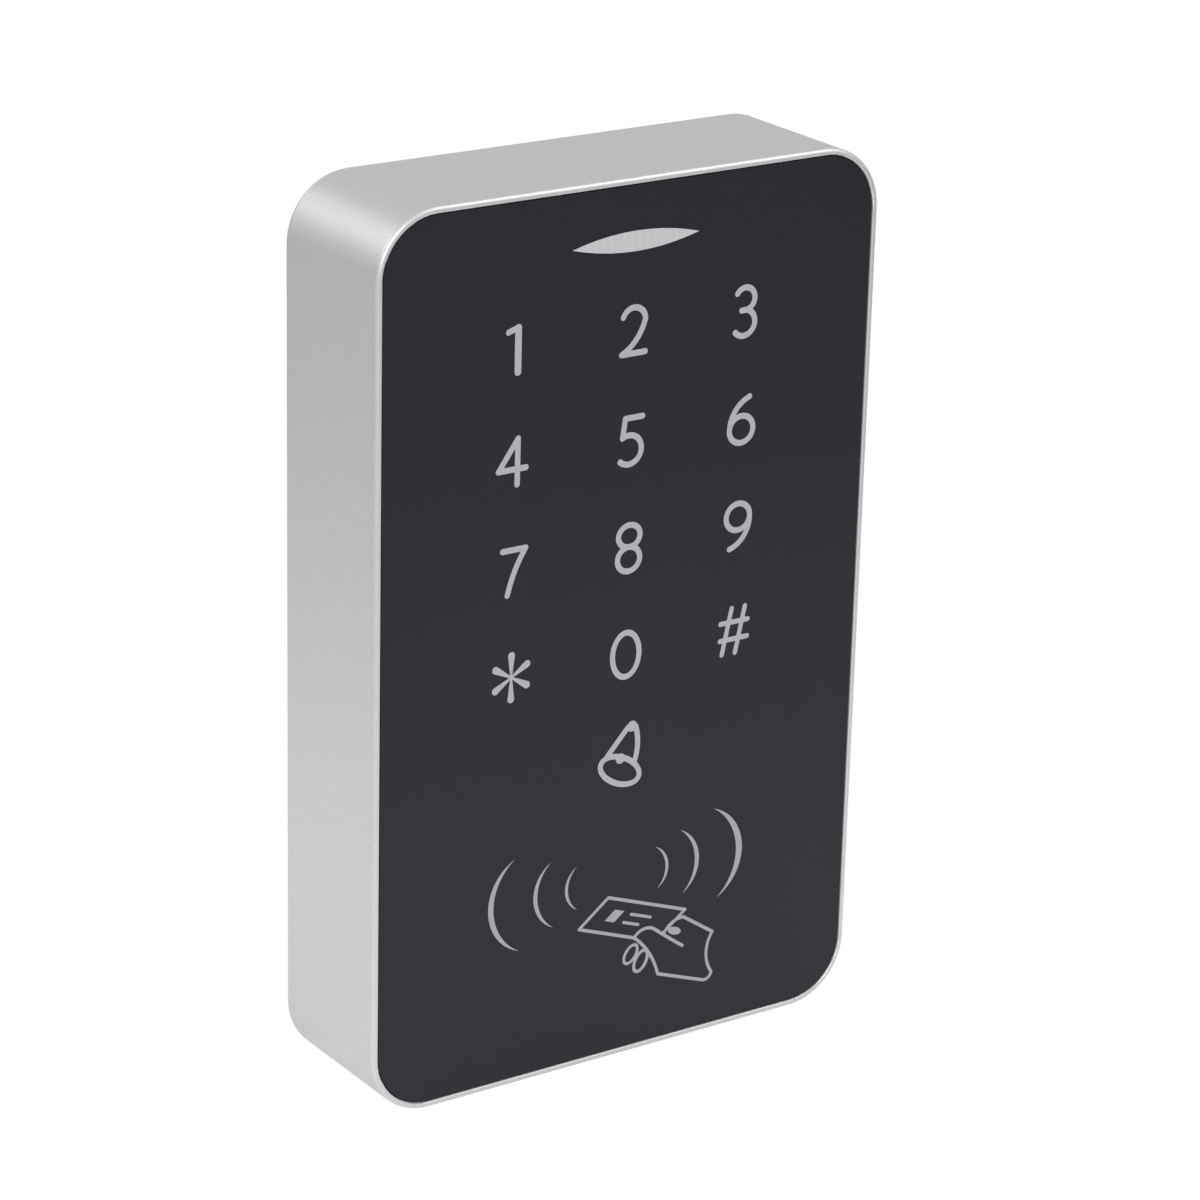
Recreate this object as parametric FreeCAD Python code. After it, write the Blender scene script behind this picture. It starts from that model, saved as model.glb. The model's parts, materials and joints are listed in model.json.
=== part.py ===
import FreeCAD, Part
import math
import os

# Wall-mounted keypad and card reader. Millimetres.
# X runs to the right seen from the front, Z runs up, and Y runs into the wall.
# The origin is on the wall, behind the middle of the housing; the front faces -Y.

os.makedirs("parts", exist_ok=True)
V = FreeCAD.Vector

# ---- driving dimensions -------------------------------------------------------------
WIDTH = 75.4
HEIGHT = 120.0
HOUSING_DEPTH = 22.0
WALL_GAP = 0.5                      # shadow gap between the wall and the housing's rear edge
CORNER_R = 8.7
FRONT_EDGE_R = 0.6
REAR_EDGE_R = 0.9
RIM = 0.85                          # width of the bright rim round the panel
RIM_STEP = 0.2                      # how far the rim stands in front of the panel
WALL_T = 2.2

FILM_T = 0.3
PANEL_T = 2.4
TAPE_T = 0.2
LEDGE_T = 1.8
GUIDE_T = 1.0
TOUCH_BOARD_T = 1.0
MAIN_BOARD_T = 1.6
BOARD_SPACE = 5.5                   # between the touch board and the main board
PANEL_GAP = 0.15

PLATE_T = 2.2
PLATE_GAP = 0.4
SLOT_SPACING = 60.0                 # wall-box screw spacing
SLOT_W = 4.2
SLOT_L = 9.0
CABLE_Z = -12.0                     # cable entry, below the middle
CABLE_HOLE_R = 7.0
GROMMET_R = 4.0

# ---- planes along Y, from the front to the wall -------------------------------------
Y_REAR = -WALL_GAP
Y_FRONT = Y_REAR - HOUSING_DEPTH
Y_FILM = Y_FRONT + RIM_STEP
Y_PANEL = Y_FILM + FILM_T
Y_TAPE = Y_PANEL + PANEL_T
Y_LEDGE = Y_TAPE + TAPE_T
Y_CAVITY = Y_LEDGE + LEDGE_T
Y_TOUCH = Y_TAPE + GUIDE_T          # front of the touch board
Y_TOUCH_BACK = Y_TOUCH + TOUCH_BOARD_T
Y_MAIN = Y_TOUCH_BACK + BOARD_SPACE  # front of the main board
Y_MAIN_BACK = Y_MAIN + MAIN_BOARD_T
Y_PLATE = -PLATE_T                  # front of the wall plate

# ---- outlines in X and Z ------------------------------------------------------------
RECESS_W = WIDTH - 2 * RIM
RECESS_H = HEIGHT - 2 * RIM
RECESS_R = CORNER_R - RIM
CAVITY_W = WIDTH - 2 * WALL_T
CAVITY_H = HEIGHT - 2 * WALL_T
CAVITY_R = CORNER_R - WALL_T
OPENING_W = 62.0
OPENING_H = 108.0
TOUCH_W = 60.0
TOUCH_H = 106.0
MAIN_HALF_W = 35.0
MAIN_LOW = -49.0
MAIN_HIGH = 52.0
MAIN_CORNER_R = 4.0

HINGE_Y = -2.6                      # the housing hangs and swings on two round lugs
HINGE_Z = 57.9
LUG_R = 0.9
LUG_X = 22.0
LUG_LENGTH = 10.0
SEAT_R = 1.0
PLATE_TOP = 56.6

LOCK_Y = -6.5                       # the lock screw at the bottom
TAB_LOW = -54.6
TAB_HIGH = -50.6
TAB_W = 14.0
PAD_TOP = -55.6
LOCK_SHANK_R = 1.45
LOCK_POCKET_R = 3.4
LOCK_POCKET_DEPTH = 2.7
WASHER_T = 0.4

BOSS_R = 3.0
BOSS_PLACES = [(x, z) for x in (-32.2, 32.2) for z in (-44.5, 47.5)]

KEY_COLUMNS = (-17.3, 0.0, 17.3)
KEY_ROWS = (40.15, 25.8, 11.4, -3.0)
STROKE = 0.80                       # line weight of the numerals
FINE_STROKE = 0.46                  # line weight of the card picture
STATUS_Z = 51.84
STATUS_W = 19.1
STATUS_H = 2.65


# ---- small makers -------------------------------------------------------------------
def box(x, y, z):
    """A block from three (low, high) pairs."""
    return Part.makeBox(x[1] - x[0], y[1] - y[0], z[1] - z[0], V(x[0], y[0], z[0]))


def block(cx, cz, width, height, y0, y1):
    return box((cx - width / 2, cx + width / 2), (y0, y1), (cz - height / 2, cz + height / 2))


def rod(axis, place, radius, low, high):
    """A cylinder along one axis; place gives the two other coordinates in X, Y, Z order."""
    if axis == "x":
        return Part.makeCylinder(radius, high - low, V(low, place[0], place[1]), V(1, 0, 0))
    if axis == "y":
        return Part.makeCylinder(radius, high - low, V(place[0], low, place[1]), V(0, 1, 0))
    return Part.makeCylinder(radius, high - low, V(place[0], place[1], low), V(0, 0, 1))


def rounded(width, height, radius, y0, y1, cx=0.0, cz=0.0):
    """A plate with rounded corners that lies in X and Z and runs from y0 to y1."""
    edges = []
    corners = []
    for sx, sz, start in ((1, 1, 0), (-1, 1, 90), (-1, -1, 180), (1, -1, 270)):
        mx = cx + sx * (width / 2 - radius)
        mz = cz + sz * (height / 2 - radius)
        arc = []
        for turn in (0, 45, 90):
            a = math.radians(start + turn)
            arc.append(V(mx + radius * math.cos(a), y0, mz + radius * math.sin(a)))
        corners.append(arc)
    for i, arc in enumerate(corners):
        edges.append(Part.Arc(*arc).toShape())
        edges.append(Part.LineSegment(arc[2], corners[(i + 1) % 4][0]).toShape())
    return Part.Face(Part.Wire(edges)).extrude(V(0, y1 - y0, 0))


def fuse(shapes):
    whole = shapes[0].multiFuse(shapes[1:]) if len(shapes) > 1 else shapes[0]
    return whole.removeSplitter()


def edges_at(shape, test):
    """The edges whose every sampled point passes the test."""
    found = []
    for edge in shape.Edges:
        points = edge.discretize(5)
        if all(test(p) for p in points):
            found.append(edge)
    return found


def save(name, shape):
    solids = shape.Solids
    assert solids and all(s.isValid() for s in solids), name
    out = solids[0] if len(solids) == 1 else Part.Compound(solids)
    out.exportStep("parts/" + name + ".step")
    return out


# ---- line drawing on the panel ------------------------------------------------------
Y0, Y1 = Y_FILM, Y_PANEL            # a legend goes right through the film


def disc(x, z, r):
    return rod("y", (x, z), r, Y0, Y1)


def prism(points):
    ring = [V(x, Y0, z) for x, z in points]
    return Part.Face(Part.makePolygon(ring + ring[:1])).extrude(V(0, Y1 - Y0, 0))


def line(a, b, weight=STROKE, round_ends=True):
    """A straight pen line of even weight."""
    dx, dz = b[0] - a[0], b[1] - a[1]
    length = math.hypot(dx, dz)
    nx, nz = -dz / length * weight / 2, dx / length * weight / 2
    bar = prism([(a[0] + nx, a[1] + nz), (b[0] + nx, b[1] + nz),
                 (b[0] - nx, b[1] - nz), (a[0] - nx, a[1] - nz)])
    if not round_ends:
        return [bar]
    return [bar, disc(a[0], a[1], weight / 2), disc(b[0], b[1], weight / 2)]


def curve(a, m, b, weight=STROKE):
    """A pen line along the arc from a through m to b."""
    circle = Part.Arc(V(a[0], Y0, a[1]), V(m[0], Y0, m[1]), V(b[0], Y0, b[1])).toShape().Curve
    c, r = circle.Center, circle.Radius
    sides = []
    for side in (r + weight / 2, r - weight / 2):
        points = []
        for p in (a, m, b):
            out = V(p[0], Y0, p[1]) - c
            points.append(c + out * (side / out.Length))
        sides.append(points)
    outer, inner = sides
    ring = Part.Wire([
        Part.Arc(*outer).toShape(),
        Part.LineSegment(outer[2], inner[2]).toShape(),
        Part.Arc(*inner[::-1]).toShape(),
        Part.LineSegment(inner[0], outer[0]).toShape(),
    ])
    band = Part.Face(ring).extrude(V(0, Y1 - Y0, 0))
    return [band, disc(a[0], a[1], weight / 2), disc(b[0], b[1], weight / 2)]


def oval(cx, cz, rx, rz, tilt=0.0):
    """A filled ellipse; tilt turns it anticlockwise, seen from the front."""
    flat = Part.Ellipse(V(0, 0, 0), max(rx, rz), min(rx, rz)).toShape()
    solid = Part.Face(Part.Wire(flat)).extrude(V(0, 0, -(Y1 - Y0)))
    if rz > rx:
        solid.rotate(V(0, 0, 0), V(0, 0, 1), 90)
    solid.rotate(V(0, 0, 0), V(0, 0, 1), tilt)
    solid.rotate(V(0, 0, 0), V(1, 0, 0), 90)
    solid.translate(V(cx, Y0, cz))
    return solid


def hoop(cx, cz, rx, rz, weight=STROKE, tilt=0.0):
    """An elliptical ring whose pen line has even weight at its four ends."""
    h = weight / 2
    return [oval(cx, cz, rx + h, rz + h, tilt).cut(oval(cx, cz, rx - h, rz - h, tilt))]


def drop(angle, reach, r_tip=0.5, half_root=0.12):
    """One arm of the star: narrow at the middle and round at its end."""
    c, s = math.cos(math.radians(angle)), math.sin(math.radians(angle))
    lean = math.asin((r_tip - half_root) / reach)
    tip = (reach * c, reach * s)
    spread = [math.radians(angle) + side * (math.pi / 2 + lean) for side in (1, -1)]
    shoulder = [(tip[0] + r_tip * math.cos(a), tip[1] + r_tip * math.sin(a)) for a in spread]
    root = [(-half_root * s, half_root * c), (half_root * s, -half_root * c)]
    return [prism([root[0], shoulder[0], shoulder[1], root[1]]), disc(tip[0], tip[1], r_tip)]


def numeral_1():
    return line((0.05, 3.0), (0.05, -2.65), 0.98) + line((-1.4, 2.6), (0.05, 3.08), 0.78)


def numeral_2():
    return (curve((-1.66, 2.0), (-0.05, 3.12), (1.7, 1.45))
            + curve((1.7, 1.45), (0.75, -0.65), (-1.78, -2.84))
            + line((-1.78, -2.84), (1.78, -2.84)))


def numeral_3():
    return (curve((-1.44, 2.6), (1.17, 2.4), (0.05, 0.32))
            + line((0.05, 0.32), (-0.7, 0.3))
            + curve((0.05, 0.32), (1.4, -1.46), (-1.62, -2.5)))


def numeral_4():
    corner, foot = (-2.56, -0.86), (0.22, -2.9)
    apex = (0.27, 3.08)
    return line(apex, foot) + line(apex, corner) + line(corner, (1.5, -0.86))


def numeral_5():
    return (line((-0.95, 3.05), (1.66, 3.05)) + line((-0.95, 3.05), (-1.3, 0.5))
            + curve((-1.3, 0.5), (1.6, -0.92), (-1.6, -2.6)))


def numeral_6():
    return hoop(-0.12, -1.26, 1.86, 1.81) + curve((-1.98, -1.05), (-1.05, 1.5), (1.05, 3.0))


def numeral_7():
    return line((-1.74, 2.94), (1.68, 2.94)) + curve((1.68, 2.94), (0.1, 0.1), (-0.95, -3.0))


def numeral_8():
    return hoop(0.14, 1.66, 1.66, 1.48) + hoop(0.12, -1.45, 1.72, 1.64)


def numeral_9():
    return hoop(-0.12, 1.27, 1.86, 1.81) + curve((1.74, 1.05), (1.0, -1.4), (-1.3, -3.0))


def numeral_0():
    return hoop(0.1, -0.08, 2.06, 3.02)


def star():
    """Six arms, set a little high in the row."""
    arms = drop(90, 2.95) + drop(270, 2.95)
    for angle in (31, 149, 211, 329):
        arms += drop(angle, 2.75)
    for arm in arms:
        arm.translate(V(-0.15, 0, 0.25))
    return arms


def hash_sign():
    lean, rise, weight = 0.67, 3.12, 0.7
    bars = []
    for x in (-1.25, 0.87):
        bars += line((x - lean, -rise), (x + lean, rise), weight)
    for z in (1.22, -1.16):
        bars += line((-2.28, z), (2.05, z), weight)
    return bars


def key_legends():
    rows = ((numeral_1, numeral_2, numeral_3), (numeral_4, numeral_5, numeral_6),
            (numeral_7, numeral_8, numeral_9), (star, numeral_0, hash_sign))
    made = []
    for z, row in zip(KEY_ROWS, rows):
        for x, draw in zip(KEY_COLUMNS, row):
            sign = fuse(draw())
            sign.translate(V(x, 0, z))
            made.append(sign)
    return Part.Compound(made)


def bell_legend():
    """A hand bell that leans to the right, its mouth shown as an oval."""
    mouth = hoop(-0.35, -19.05, 3.33, 1.75, 0.8, -27)
    sides = (line((-2.4, -16.7), (0.78, -13.25))
             + curve((2.02, -13.4), (2.35, -15.3), (1.98, -18.1)))
    crown = [disc(1.4, -13.22, 0.76)]
    clapper = [disc(-0.3, -17.4, 0.72)]
    return fuse(mouth + sides + crown + clapper)


def wave_legend():
    """Three crescents on each side of the place where a card is held."""
    left = (((-16.3, -27.95), (-20.36, -19.54), (-15.5, -41.1)),
            ((-10.8, -29.7), (-13.42, -12.8), (-10.2, -39.05)),
            ((-6.7, -31.2), (-8.5, -8.04), (-6.5, -37.4)))
    right = (((5.7, -31.2), (7.9, 7.42), (6.15, -37.3)),
             ((9.65, -29.65), (12.84, 12.17), (10.3, -38.95)),
             ((14.95, -27.75), (19.86, 18.88), (15.95, -40.85)))
    middle_z = -34.1
    made = []
    for top, reach, foot in left + right:
        a, b = V(top[0], Y0, top[1]), V(foot[0], Y0, foot[1])
        sides = [Part.Arc(a, V(x, Y0, middle_z), b).toShape() for x in reach]
        made.append(Part.Face(Part.Wire(sides)).extrude(V(0, Y1 - Y0, 0)))
    return Part.Compound(made)


def card_legend():
    """A hand that holds up a blank card with a chip and two bars on it."""
    w = FINE_STROKE
    top, right, left = (-1.6, -36.8), (10.85, -41.4), (-6.15, -40.3)
    card = (line(top, right, w) + line(top, left, w)
            + line(left, (2.7, -43.6), w) + line(right, (7.5, -43.9), w))
    ux, uz = (right[0] - top[0]), (right[1] - top[1])
    vx, vz = (left[0] - top[0]), (left[1] - top[1])

    def on_card(u, v):
        return (top[0] + u * ux + v * vx, top[1] + u * uz + v * vz)

    chip = [prism([on_card(0.2, 0.3), on_card(0.32, 0.3), on_card(0.32, 0.66), on_card(0.2, 0.66)])]
    bars = (line(on_card(0.43, 0.36), on_card(0.68, 0.36), 0.42)
            + line(on_card(0.43, 0.62), on_card(0.62, 0.62), 0.42))
    thumb = (curve((2.7, -43.6), (3.9, -42.75), (6.1, -43.2), w)
             + curve((6.1, -43.2), (7.7, -44.45), (10.6, -46.6), w)
             + curve((2.7, -43.6), (5.1, -46.25), (6.7, -49.8), w))
    wrist = (line((6.7, -49.8), (14.1, -52.5), w)
             + curve((14.1, -52.5), (15.1, -52.3), (15.5, -51.6), w)
             + curve((15.5, -51.6), (14.55, -48.7), (15.45, -45.7), w)
             + line((15.45, -45.7), (10.6, -42.4), w))
    fingertip = curve((7.5, -44.1), (8.7, -42.85), (10.6, -42.4), w) + [oval(9.2, -44.1, 1.1, 0.55, -20)]
    curled = hoop(2.2, -45.85, 0.85, 1.4, 0.44, -35) + hoop(3.85, -47.2, 0.9, 1.55, 0.5, -28)
    held = fuse(card + thumb + wrist + fingertip + curled)
    return Part.Compound([held] + chip + [fuse(bars[:3]), fuse(bars[3:])])


def status_window():
    """A pointed oval made of two equal arcs."""
    a, b = V(-STATUS_W / 2, Y0, STATUS_Z), V(STATUS_W / 2, Y0, STATUS_Z)
    sides = [Part.Arc(a, V(0, Y0, STATUS_Z + s * STATUS_H / 2), b).toShape() for s in (1, -1)]
    return Part.Face(Part.Wire(sides)).extrude(V(0, Y1 - Y0, 0))


# ---- front unit ---------------------------------------------------------------------
def front_housing():
    shell = rounded(WIDTH, HEIGHT, CORNER_R, Y_FRONT, Y_REAR)
    shell = shell.makeFillet(FRONT_EDGE_R, edges_at(shell, lambda p: p.y < Y_FRONT + 0.01))
    shell = shell.makeFillet(REAR_EDGE_R, edges_at(shell, lambda p: p.y > Y_REAR - 0.01))
    shell = shell.cut(rounded(RECESS_W, RECESS_H, RECESS_R, Y_FRONT - 1, Y_LEDGE))
    shell = shell.cut(rounded(OPENING_W, OPENING_H, 4.0, Y_LEDGE - 1, Y_CAVITY + 1))
    shell = shell.cut(rounded(CAVITY_W, CAVITY_H, CAVITY_R, Y_CAVITY, Y_REAR + 1))
    inner = edges_at(shell, lambda p: p.y < Y_FRONT + 0.01 and abs(p.x) < RECESS_W / 2 + 0.01
                     and abs(p.z) < RECESS_H / 2 + 0.01)
    shell = shell.makeFillet(0.2, inner)
    shapes = [shell]
    for x, z in BOSS_PLACES:
        side = math.copysign(CAVITY_W / 2 + 0.5, x)
        shapes.append(rod("y", (x, z), BOSS_R, Y_CAVITY, Y_MAIN))
        shapes.append(box(sorted((x, side)), (Y_CAVITY, Y_MAIN), (z - 1.0, z + 1.0)))
    for z in (-20.0, 5.0, 28.0):    # ribs that stiffen the side walls
        for sx in (-1, 1):
            low, high = sorted((sx * (OPENING_W / 2 + 0.5), sx * (CAVITY_W / 2 + 0.5)))
            shapes.append(box((low, high), (Y_CAVITY, Y_MAIN), (z - 0.6, z + 0.6)))
    shapes.append(box((-8.0, 8.0), (-13.0, Y_PLATE - 0.6), (-HEIGHT / 2 + 1.0, PAD_TOP)))
    shell = fuse(shapes)
    for x, z in BOSS_PLACES:
        shell = shell.cut(rod("y", (x, z), 1.1, Y_CAVITY + 0.6, Y_MAIN + 1))
    for x in (-LUG_X, LUG_X):       # pockets that hang on the plate's lugs
        low, high = x - LUG_LENGTH / 2 - 0.3, x + LUG_LENGTH / 2 + 0.3
        shell = shell.cut(rod("x", (HINGE_Y, HINGE_Z), SEAT_R, low, high))
        shell = shell.cut(box((low, high), (HINGE_Y - SEAT_R, HINGE_Y + SEAT_R), (57.0, HINGE_Z)))
    # notch and head pocket for the lock screw, both open at the rear
    slot = LOCK_SHANK_R + 0.35
    shell = shell.cut(rod("z", (0, LOCK_Y), slot, -61, PAD_TOP + 1))
    shell = shell.cut(box((-slot, slot), (LOCK_Y, 1), (-61, PAD_TOP + 1)))
    pocket_top = -HEIGHT / 2 + LOCK_POCKET_DEPTH
    shell = shell.cut(rod("z", (0, LOCK_Y), LOCK_POCKET_R, -61, pocket_top))
    shell = shell.cut(box((-LOCK_POCKET_R, LOCK_POCKET_R), (LOCK_Y, 1), (-61, pocket_top)))
    return shell


def panel_film(legends):
    film = rounded(RECESS_W - 2 * PANEL_GAP, RECESS_H - 2 * PANEL_GAP, RECESS_R - PANEL_GAP, Y_FILM, Y_PANEL)
    return film.cut(Part.Compound([s for legend in legends for s in legend.Solids]))


def touch_panel():
    return rounded(RECESS_W - 2 * PANEL_GAP, RECESS_H - 2 * PANEL_GAP, RECESS_R - PANEL_GAP, Y_PANEL, Y_TAPE)


def panel_tape():
    ring = rounded(RECESS_W - 1.2, RECESS_H - 1.2, RECESS_R - 0.6, Y_TAPE, Y_LEDGE)
    return ring.cut(rounded(OPENING_W + 1, OPENING_H + 1, 4.5, Y_TAPE - 1, Y_LEDGE + 1))


PIPE_Z = 50.4                       # status lights sit just below the window's middle
LED_PLACES = ([(x, z) for z in KEY_ROWS for x in KEY_COLUMNS] + [(0.0, -17.3)]
              + [(x, -34.0) for x in (-17.0, 17.0)] + [(5.0, -45.0)])
STATUS_PLACES = [(x, PIPE_Z) for x in (-6.0, 0.0, 6.0)]


def light_guide():
    sheet = rounded(TOUCH_W, TOUCH_H, 3.0, Y_TAPE, Y_TOUCH)
    return sheet.cut(block(0, PIPE_Z, 20.6, 4.0, Y_TAPE - 1, Y_TOUCH + 1))


def status_light_pipe():
    return rounded(20.0, 3.4, 1.6, Y_TAPE, Y_TOUCH, 0, PIPE_Z)


def touch_board():
    board = rounded(TOUCH_W, TOUCH_H, 3.0, Y_TOUCH, Y_TOUCH_BACK)
    holes = [rod("y", place, 1.2, Y_TOUCH - 1, Y_TOUCH_BACK + 1) for place in LED_PLACES + STATUS_PLACES]
    return board.cut(Part.Compound(holes))


def touch_pads():
    """A copper ring round each key's light."""
    pads = []
    for x, z in LED_PLACES[:13]:
        y0, y1 = Y_TOUCH_BACK, Y_TOUCH_BACK + 0.07
        pads.append(rod("y", (x, z), 5.8, y0, y1).cut(rod("y", (x, z), 2.4, y0 - 1, y1 + 1)))
    return Part.Compound(pads)


def lights(places):
    made = []
    for x, z in places:
        case = block(x, z, 3.0, 1.6, Y_TOUCH_BACK, Y_TOUCH_BACK + 0.9)
        made.append(case.fuse(rod("y", (x, z), 0.7, Y_TOUCH_BACK - 0.6, Y_TOUCH_BACK + 0.1)))
    return Part.Compound([fuse([s]) for s in made])


def leaded_chip(x, z, width, height, thick, y_board, facing, pins, pitch, sides):
    """A moulded chip and its gull-wing legs. facing is +1 when it stands towards the wall."""
    def across(a, b):
        return tuple(sorted((y_board + facing * a, y_board + facing * b)))

    lift = 0.1
    y = across(lift, lift + thick)
    body = box((x - width / 2, x + width / 2), y, (z - height / 2, z + height / 2))
    edges = [e for e in body.Edges if abs(e.tangentAt(e.FirstParameter).y) < 0.01]
    outer = [e for e in edges if abs(e.BoundBox.Center.y - (y_board + facing * (lift + thick))) < 0.01]
    body = body.makeChamfer(0.12, outer)
    legs = []
    for side in sides:
        run = width if side in "tb" else height
        edge = {"l": -width / 2, "r": width / 2, "t": height / 2, "b": -height / 2}[side]
        sign = 1 if edge > 0 else -1
        assert (pins - 1) * pitch < run
        for i in range(pins):
            at = (i - (pins - 1) / 2) * pitch
            half = pitch * 0.18
            knee, toe = edge + sign * 0.35, edge + sign * 0.95
            spans = ((edge, knee, lift + thick * 0.4, lift + thick * 0.4 + 0.15),
                     (knee - sign * 0.15, knee, 0.0, lift + thick * 0.4 + 0.15),
                     (knee - sign * 0.15, toe, 0.0, 0.15))
            pieces = []
            for a, b, d0, d1 in spans:
                reach = tuple(sorted((a, b)))
                if side in "lr":
                    pieces.append(box((x + reach[0], x + reach[1]), across(d0, d1), (z + at - half, z + at + half)))
                else:
                    pieces.append(box((x + at - half, x + at + half), across(d0, d1), (z + reach[0], z + reach[1])))
            legs.append(fuse(pieces))
    return body, legs


def header():
    """Board-to-board connector: the pin strip, its socket and eight pins."""
    x, z, pitch, pins = 18.0, -13.5, 2.0, 8
    join = Y_TOUCH_BACK + 2.5
    strip = block(x, z, pins * pitch, 2.2, Y_TOUCH_BACK, join)
    socket = block(x, z, pins * pitch + 1.0, 2.6, join, Y_MAIN)
    metal = []
    for i in range(pins):
        at = x + (i - (pins - 1) / 2) * pitch
        hole = block(at, z, 0.5, 0.5, Y_TOUCH_BACK - 1, Y_MAIN - 1.0)
        strip = strip.cut(hole)
        socket = socket.cut(hole)
        metal.append(block(at, z, 0.5, 0.5, Y_TOUCH_BACK, Y_MAIN - 1.0))
    return strip, socket, Part.Compound(metal)


def main_board():
    height = MAIN_HIGH - MAIN_LOW
    middle = (MAIN_HIGH + MAIN_LOW) / 2
    board = rounded(2 * MAIN_HALF_W, height, MAIN_CORNER_R, Y_MAIN, Y_MAIN_BACK, 0, middle)
    holes = [rod("y", place, 1.6, Y_MAIN - 1, Y_MAIN_BACK + 1) for place in BOSS_PLACES]
    return board.cut(Part.Compound(holes))


def board_screws():
    """Pan-head screws that cut their own thread in the bosses."""
    made = []
    for place in BOSS_PLACES:
        head = rod("y", place, 2.5, Y_MAIN_BACK, Y_MAIN_BACK + 1.6)
        rim = edges_at(head, lambda p: p.y > Y_MAIN_BACK + 1.59)
        head = head.makeFillet(0.7, rim)
        shank = rod("y", place, 1.1, Y_MAIN - 4.0, Y_MAIN_BACK + 0.2)
        screw = fuse([head, shank])
        for turn in (0, 90):
            wing = block(place[0], place[1], 2.6, 0.55, Y_MAIN_BACK + 0.7, Y_MAIN_BACK + 2)
            wing.rotate(V(place[0], 0, place[1]), V(0, 1, 0), turn)
            screw = screw.cut(wing)
        made.append(screw)
    return Part.Compound(made)


COIL_Z = -33.0
COIL_W = 56.0
COIL_H = 27.0
COIL_T = 3.0
COIL_BAND = 4.0
PAD_T = 0.8


def coil_ring(width, height, band, y0, y1):
    outer = rounded(width, height, 7.0, y0, y1, 0, COIL_Z)
    return outer.cut(rounded(width - 2 * band, height - 2 * band, 7.0 - band * 0.8, y0 - 1, y1 + 1, 0, COIL_Z))


def antenna_coil():
    coil = coil_ring(COIL_W, COIL_H, COIL_BAND, Y_MAIN - PAD_T - COIL_T, Y_MAIN - PAD_T)
    return coil.makeFillet(0.6, edges_at(coil, lambda p: p.y < Y_MAIN - PAD_T - COIL_T + 0.01))


def coil_pad():
    return coil_ring(COIL_W - 1, COIL_H - 1, COIL_BAND - 1, Y_MAIN - PAD_T, Y_MAIN)


def crystal():
    """A low metal can with rounded ends on its flange."""
    x, z = -11.0, 26.0
    can = rounded(10.2, 3.7, 1.8, Y_MAIN - 3.4, Y_MAIN - 0.4, x, z)
    can = can.makeFillet(0.5, edges_at(can, lambda p: p.y < Y_MAIN - 3.39))
    return fuse([can, rounded(11.2, 4.7, 2.3, Y_MAIN - 0.4, Y_MAIN, x, z)])


# ---- rear face of the main board ----------------------------------------------------
RELAY_X = 22.0
RELAY_Z = 36.0
RELAY_W = 10.4
RELAY_L = 15.4
RELAY_TOP = Y_MAIN_BACK + 6.4
CORE_Y = Y_MAIN_BACK + 3.6
PIVOT_Y = Y_MAIN_BACK + 1.7
PIVOT_Z = RELAY_Z + 4.2


def relay():
    """A small switching relay, opened up into its real pieces."""
    x, z, y = RELAY_X, RELAY_Z, Y_MAIN_BACK
    base = block(x, z, RELAY_W, RELAY_L, y, y + 0.8)
    case = block(x, z, RELAY_W, RELAY_L, y + 0.8, RELAY_TOP)
    case = case.makeFillet(0.4, edges_at(case, lambda p: p.y > RELAY_TOP - 0.01))
    case = case.cut(block(x, z, RELAY_W - 1.2, RELAY_L - 1.2, y - 1, RELAY_TOP - 0.6))
    core = fuse([
        rod("z", (x, CORE_Y), 0.7, z - 5.6, z + 3.5),
        rod("z", (x, CORE_Y), 1.25, z + 3.1, z + 3.5),
        box((x - 2.2, x + 2.2), (y + 0.8, y + 5.2), (z - 6.2, z - 5.6)),
        box((x - 2.2, x + 2.2), (y + 0.8, y + 1.4), (z - 6.2, z + 4.0)),
    ])
    bobbin = [rod("z", (x, CORE_Y), 1.0, z - 5.6, z + 3.1)]
    for low in (z - 5.6, z + 2.6):
        bobbin.append(rod("z", (x, CORE_Y), 2.15, low, low + 0.5))
    bobbin = fuse(bobbin).cut(core)
    coil = rod("z", (x, CORE_Y), 1.95, z - 5.1, z + 2.6).cut(rod("z", (x, CORE_Y), 1.0, z - 6, z + 4))
    # armature: an iron flap that rocks on its rolled edge, with a contact leaf riveted to it
    flap = box((x - 2.1, x + 2.1), (PIVOT_Y, y + 5.2), (z + 4.1, z + 4.6))
    rocker = rod("x", (PIVOT_Y, PIVOT_Z), 0.25, x - 2.1, x + 2.1)
    leaf = box((x - 1.6, x + 4.0), (y + 3.2, y + 4.4), (z + 4.6, z + 4.75))
    button = rod("z", (x + 3.4, y + 3.8), 0.45, z + 4.3, z + 5.0)
    armature = fuse([flap, rocker, leaf, button])
    posts = []
    for low, high, tip in ((3.2, 3.6, 3.9), (5.6, 6.0, 5.05)):
        posts.append(fuse([
            box((x + 2.8, x + 4.2), (y + 0.8, y + 4.4), (z + low, z + high)),
            rod("z", (x + 3.4, y + 3.8), 0.45, z + min(low, tip), z + max(high, tip)),
        ]))
    return base, case, core, bobbin, coil, armature, Part.Compound(posts)


BUZZER = (-21.0, -22.0)
BUZZER_R = 7.0


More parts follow.
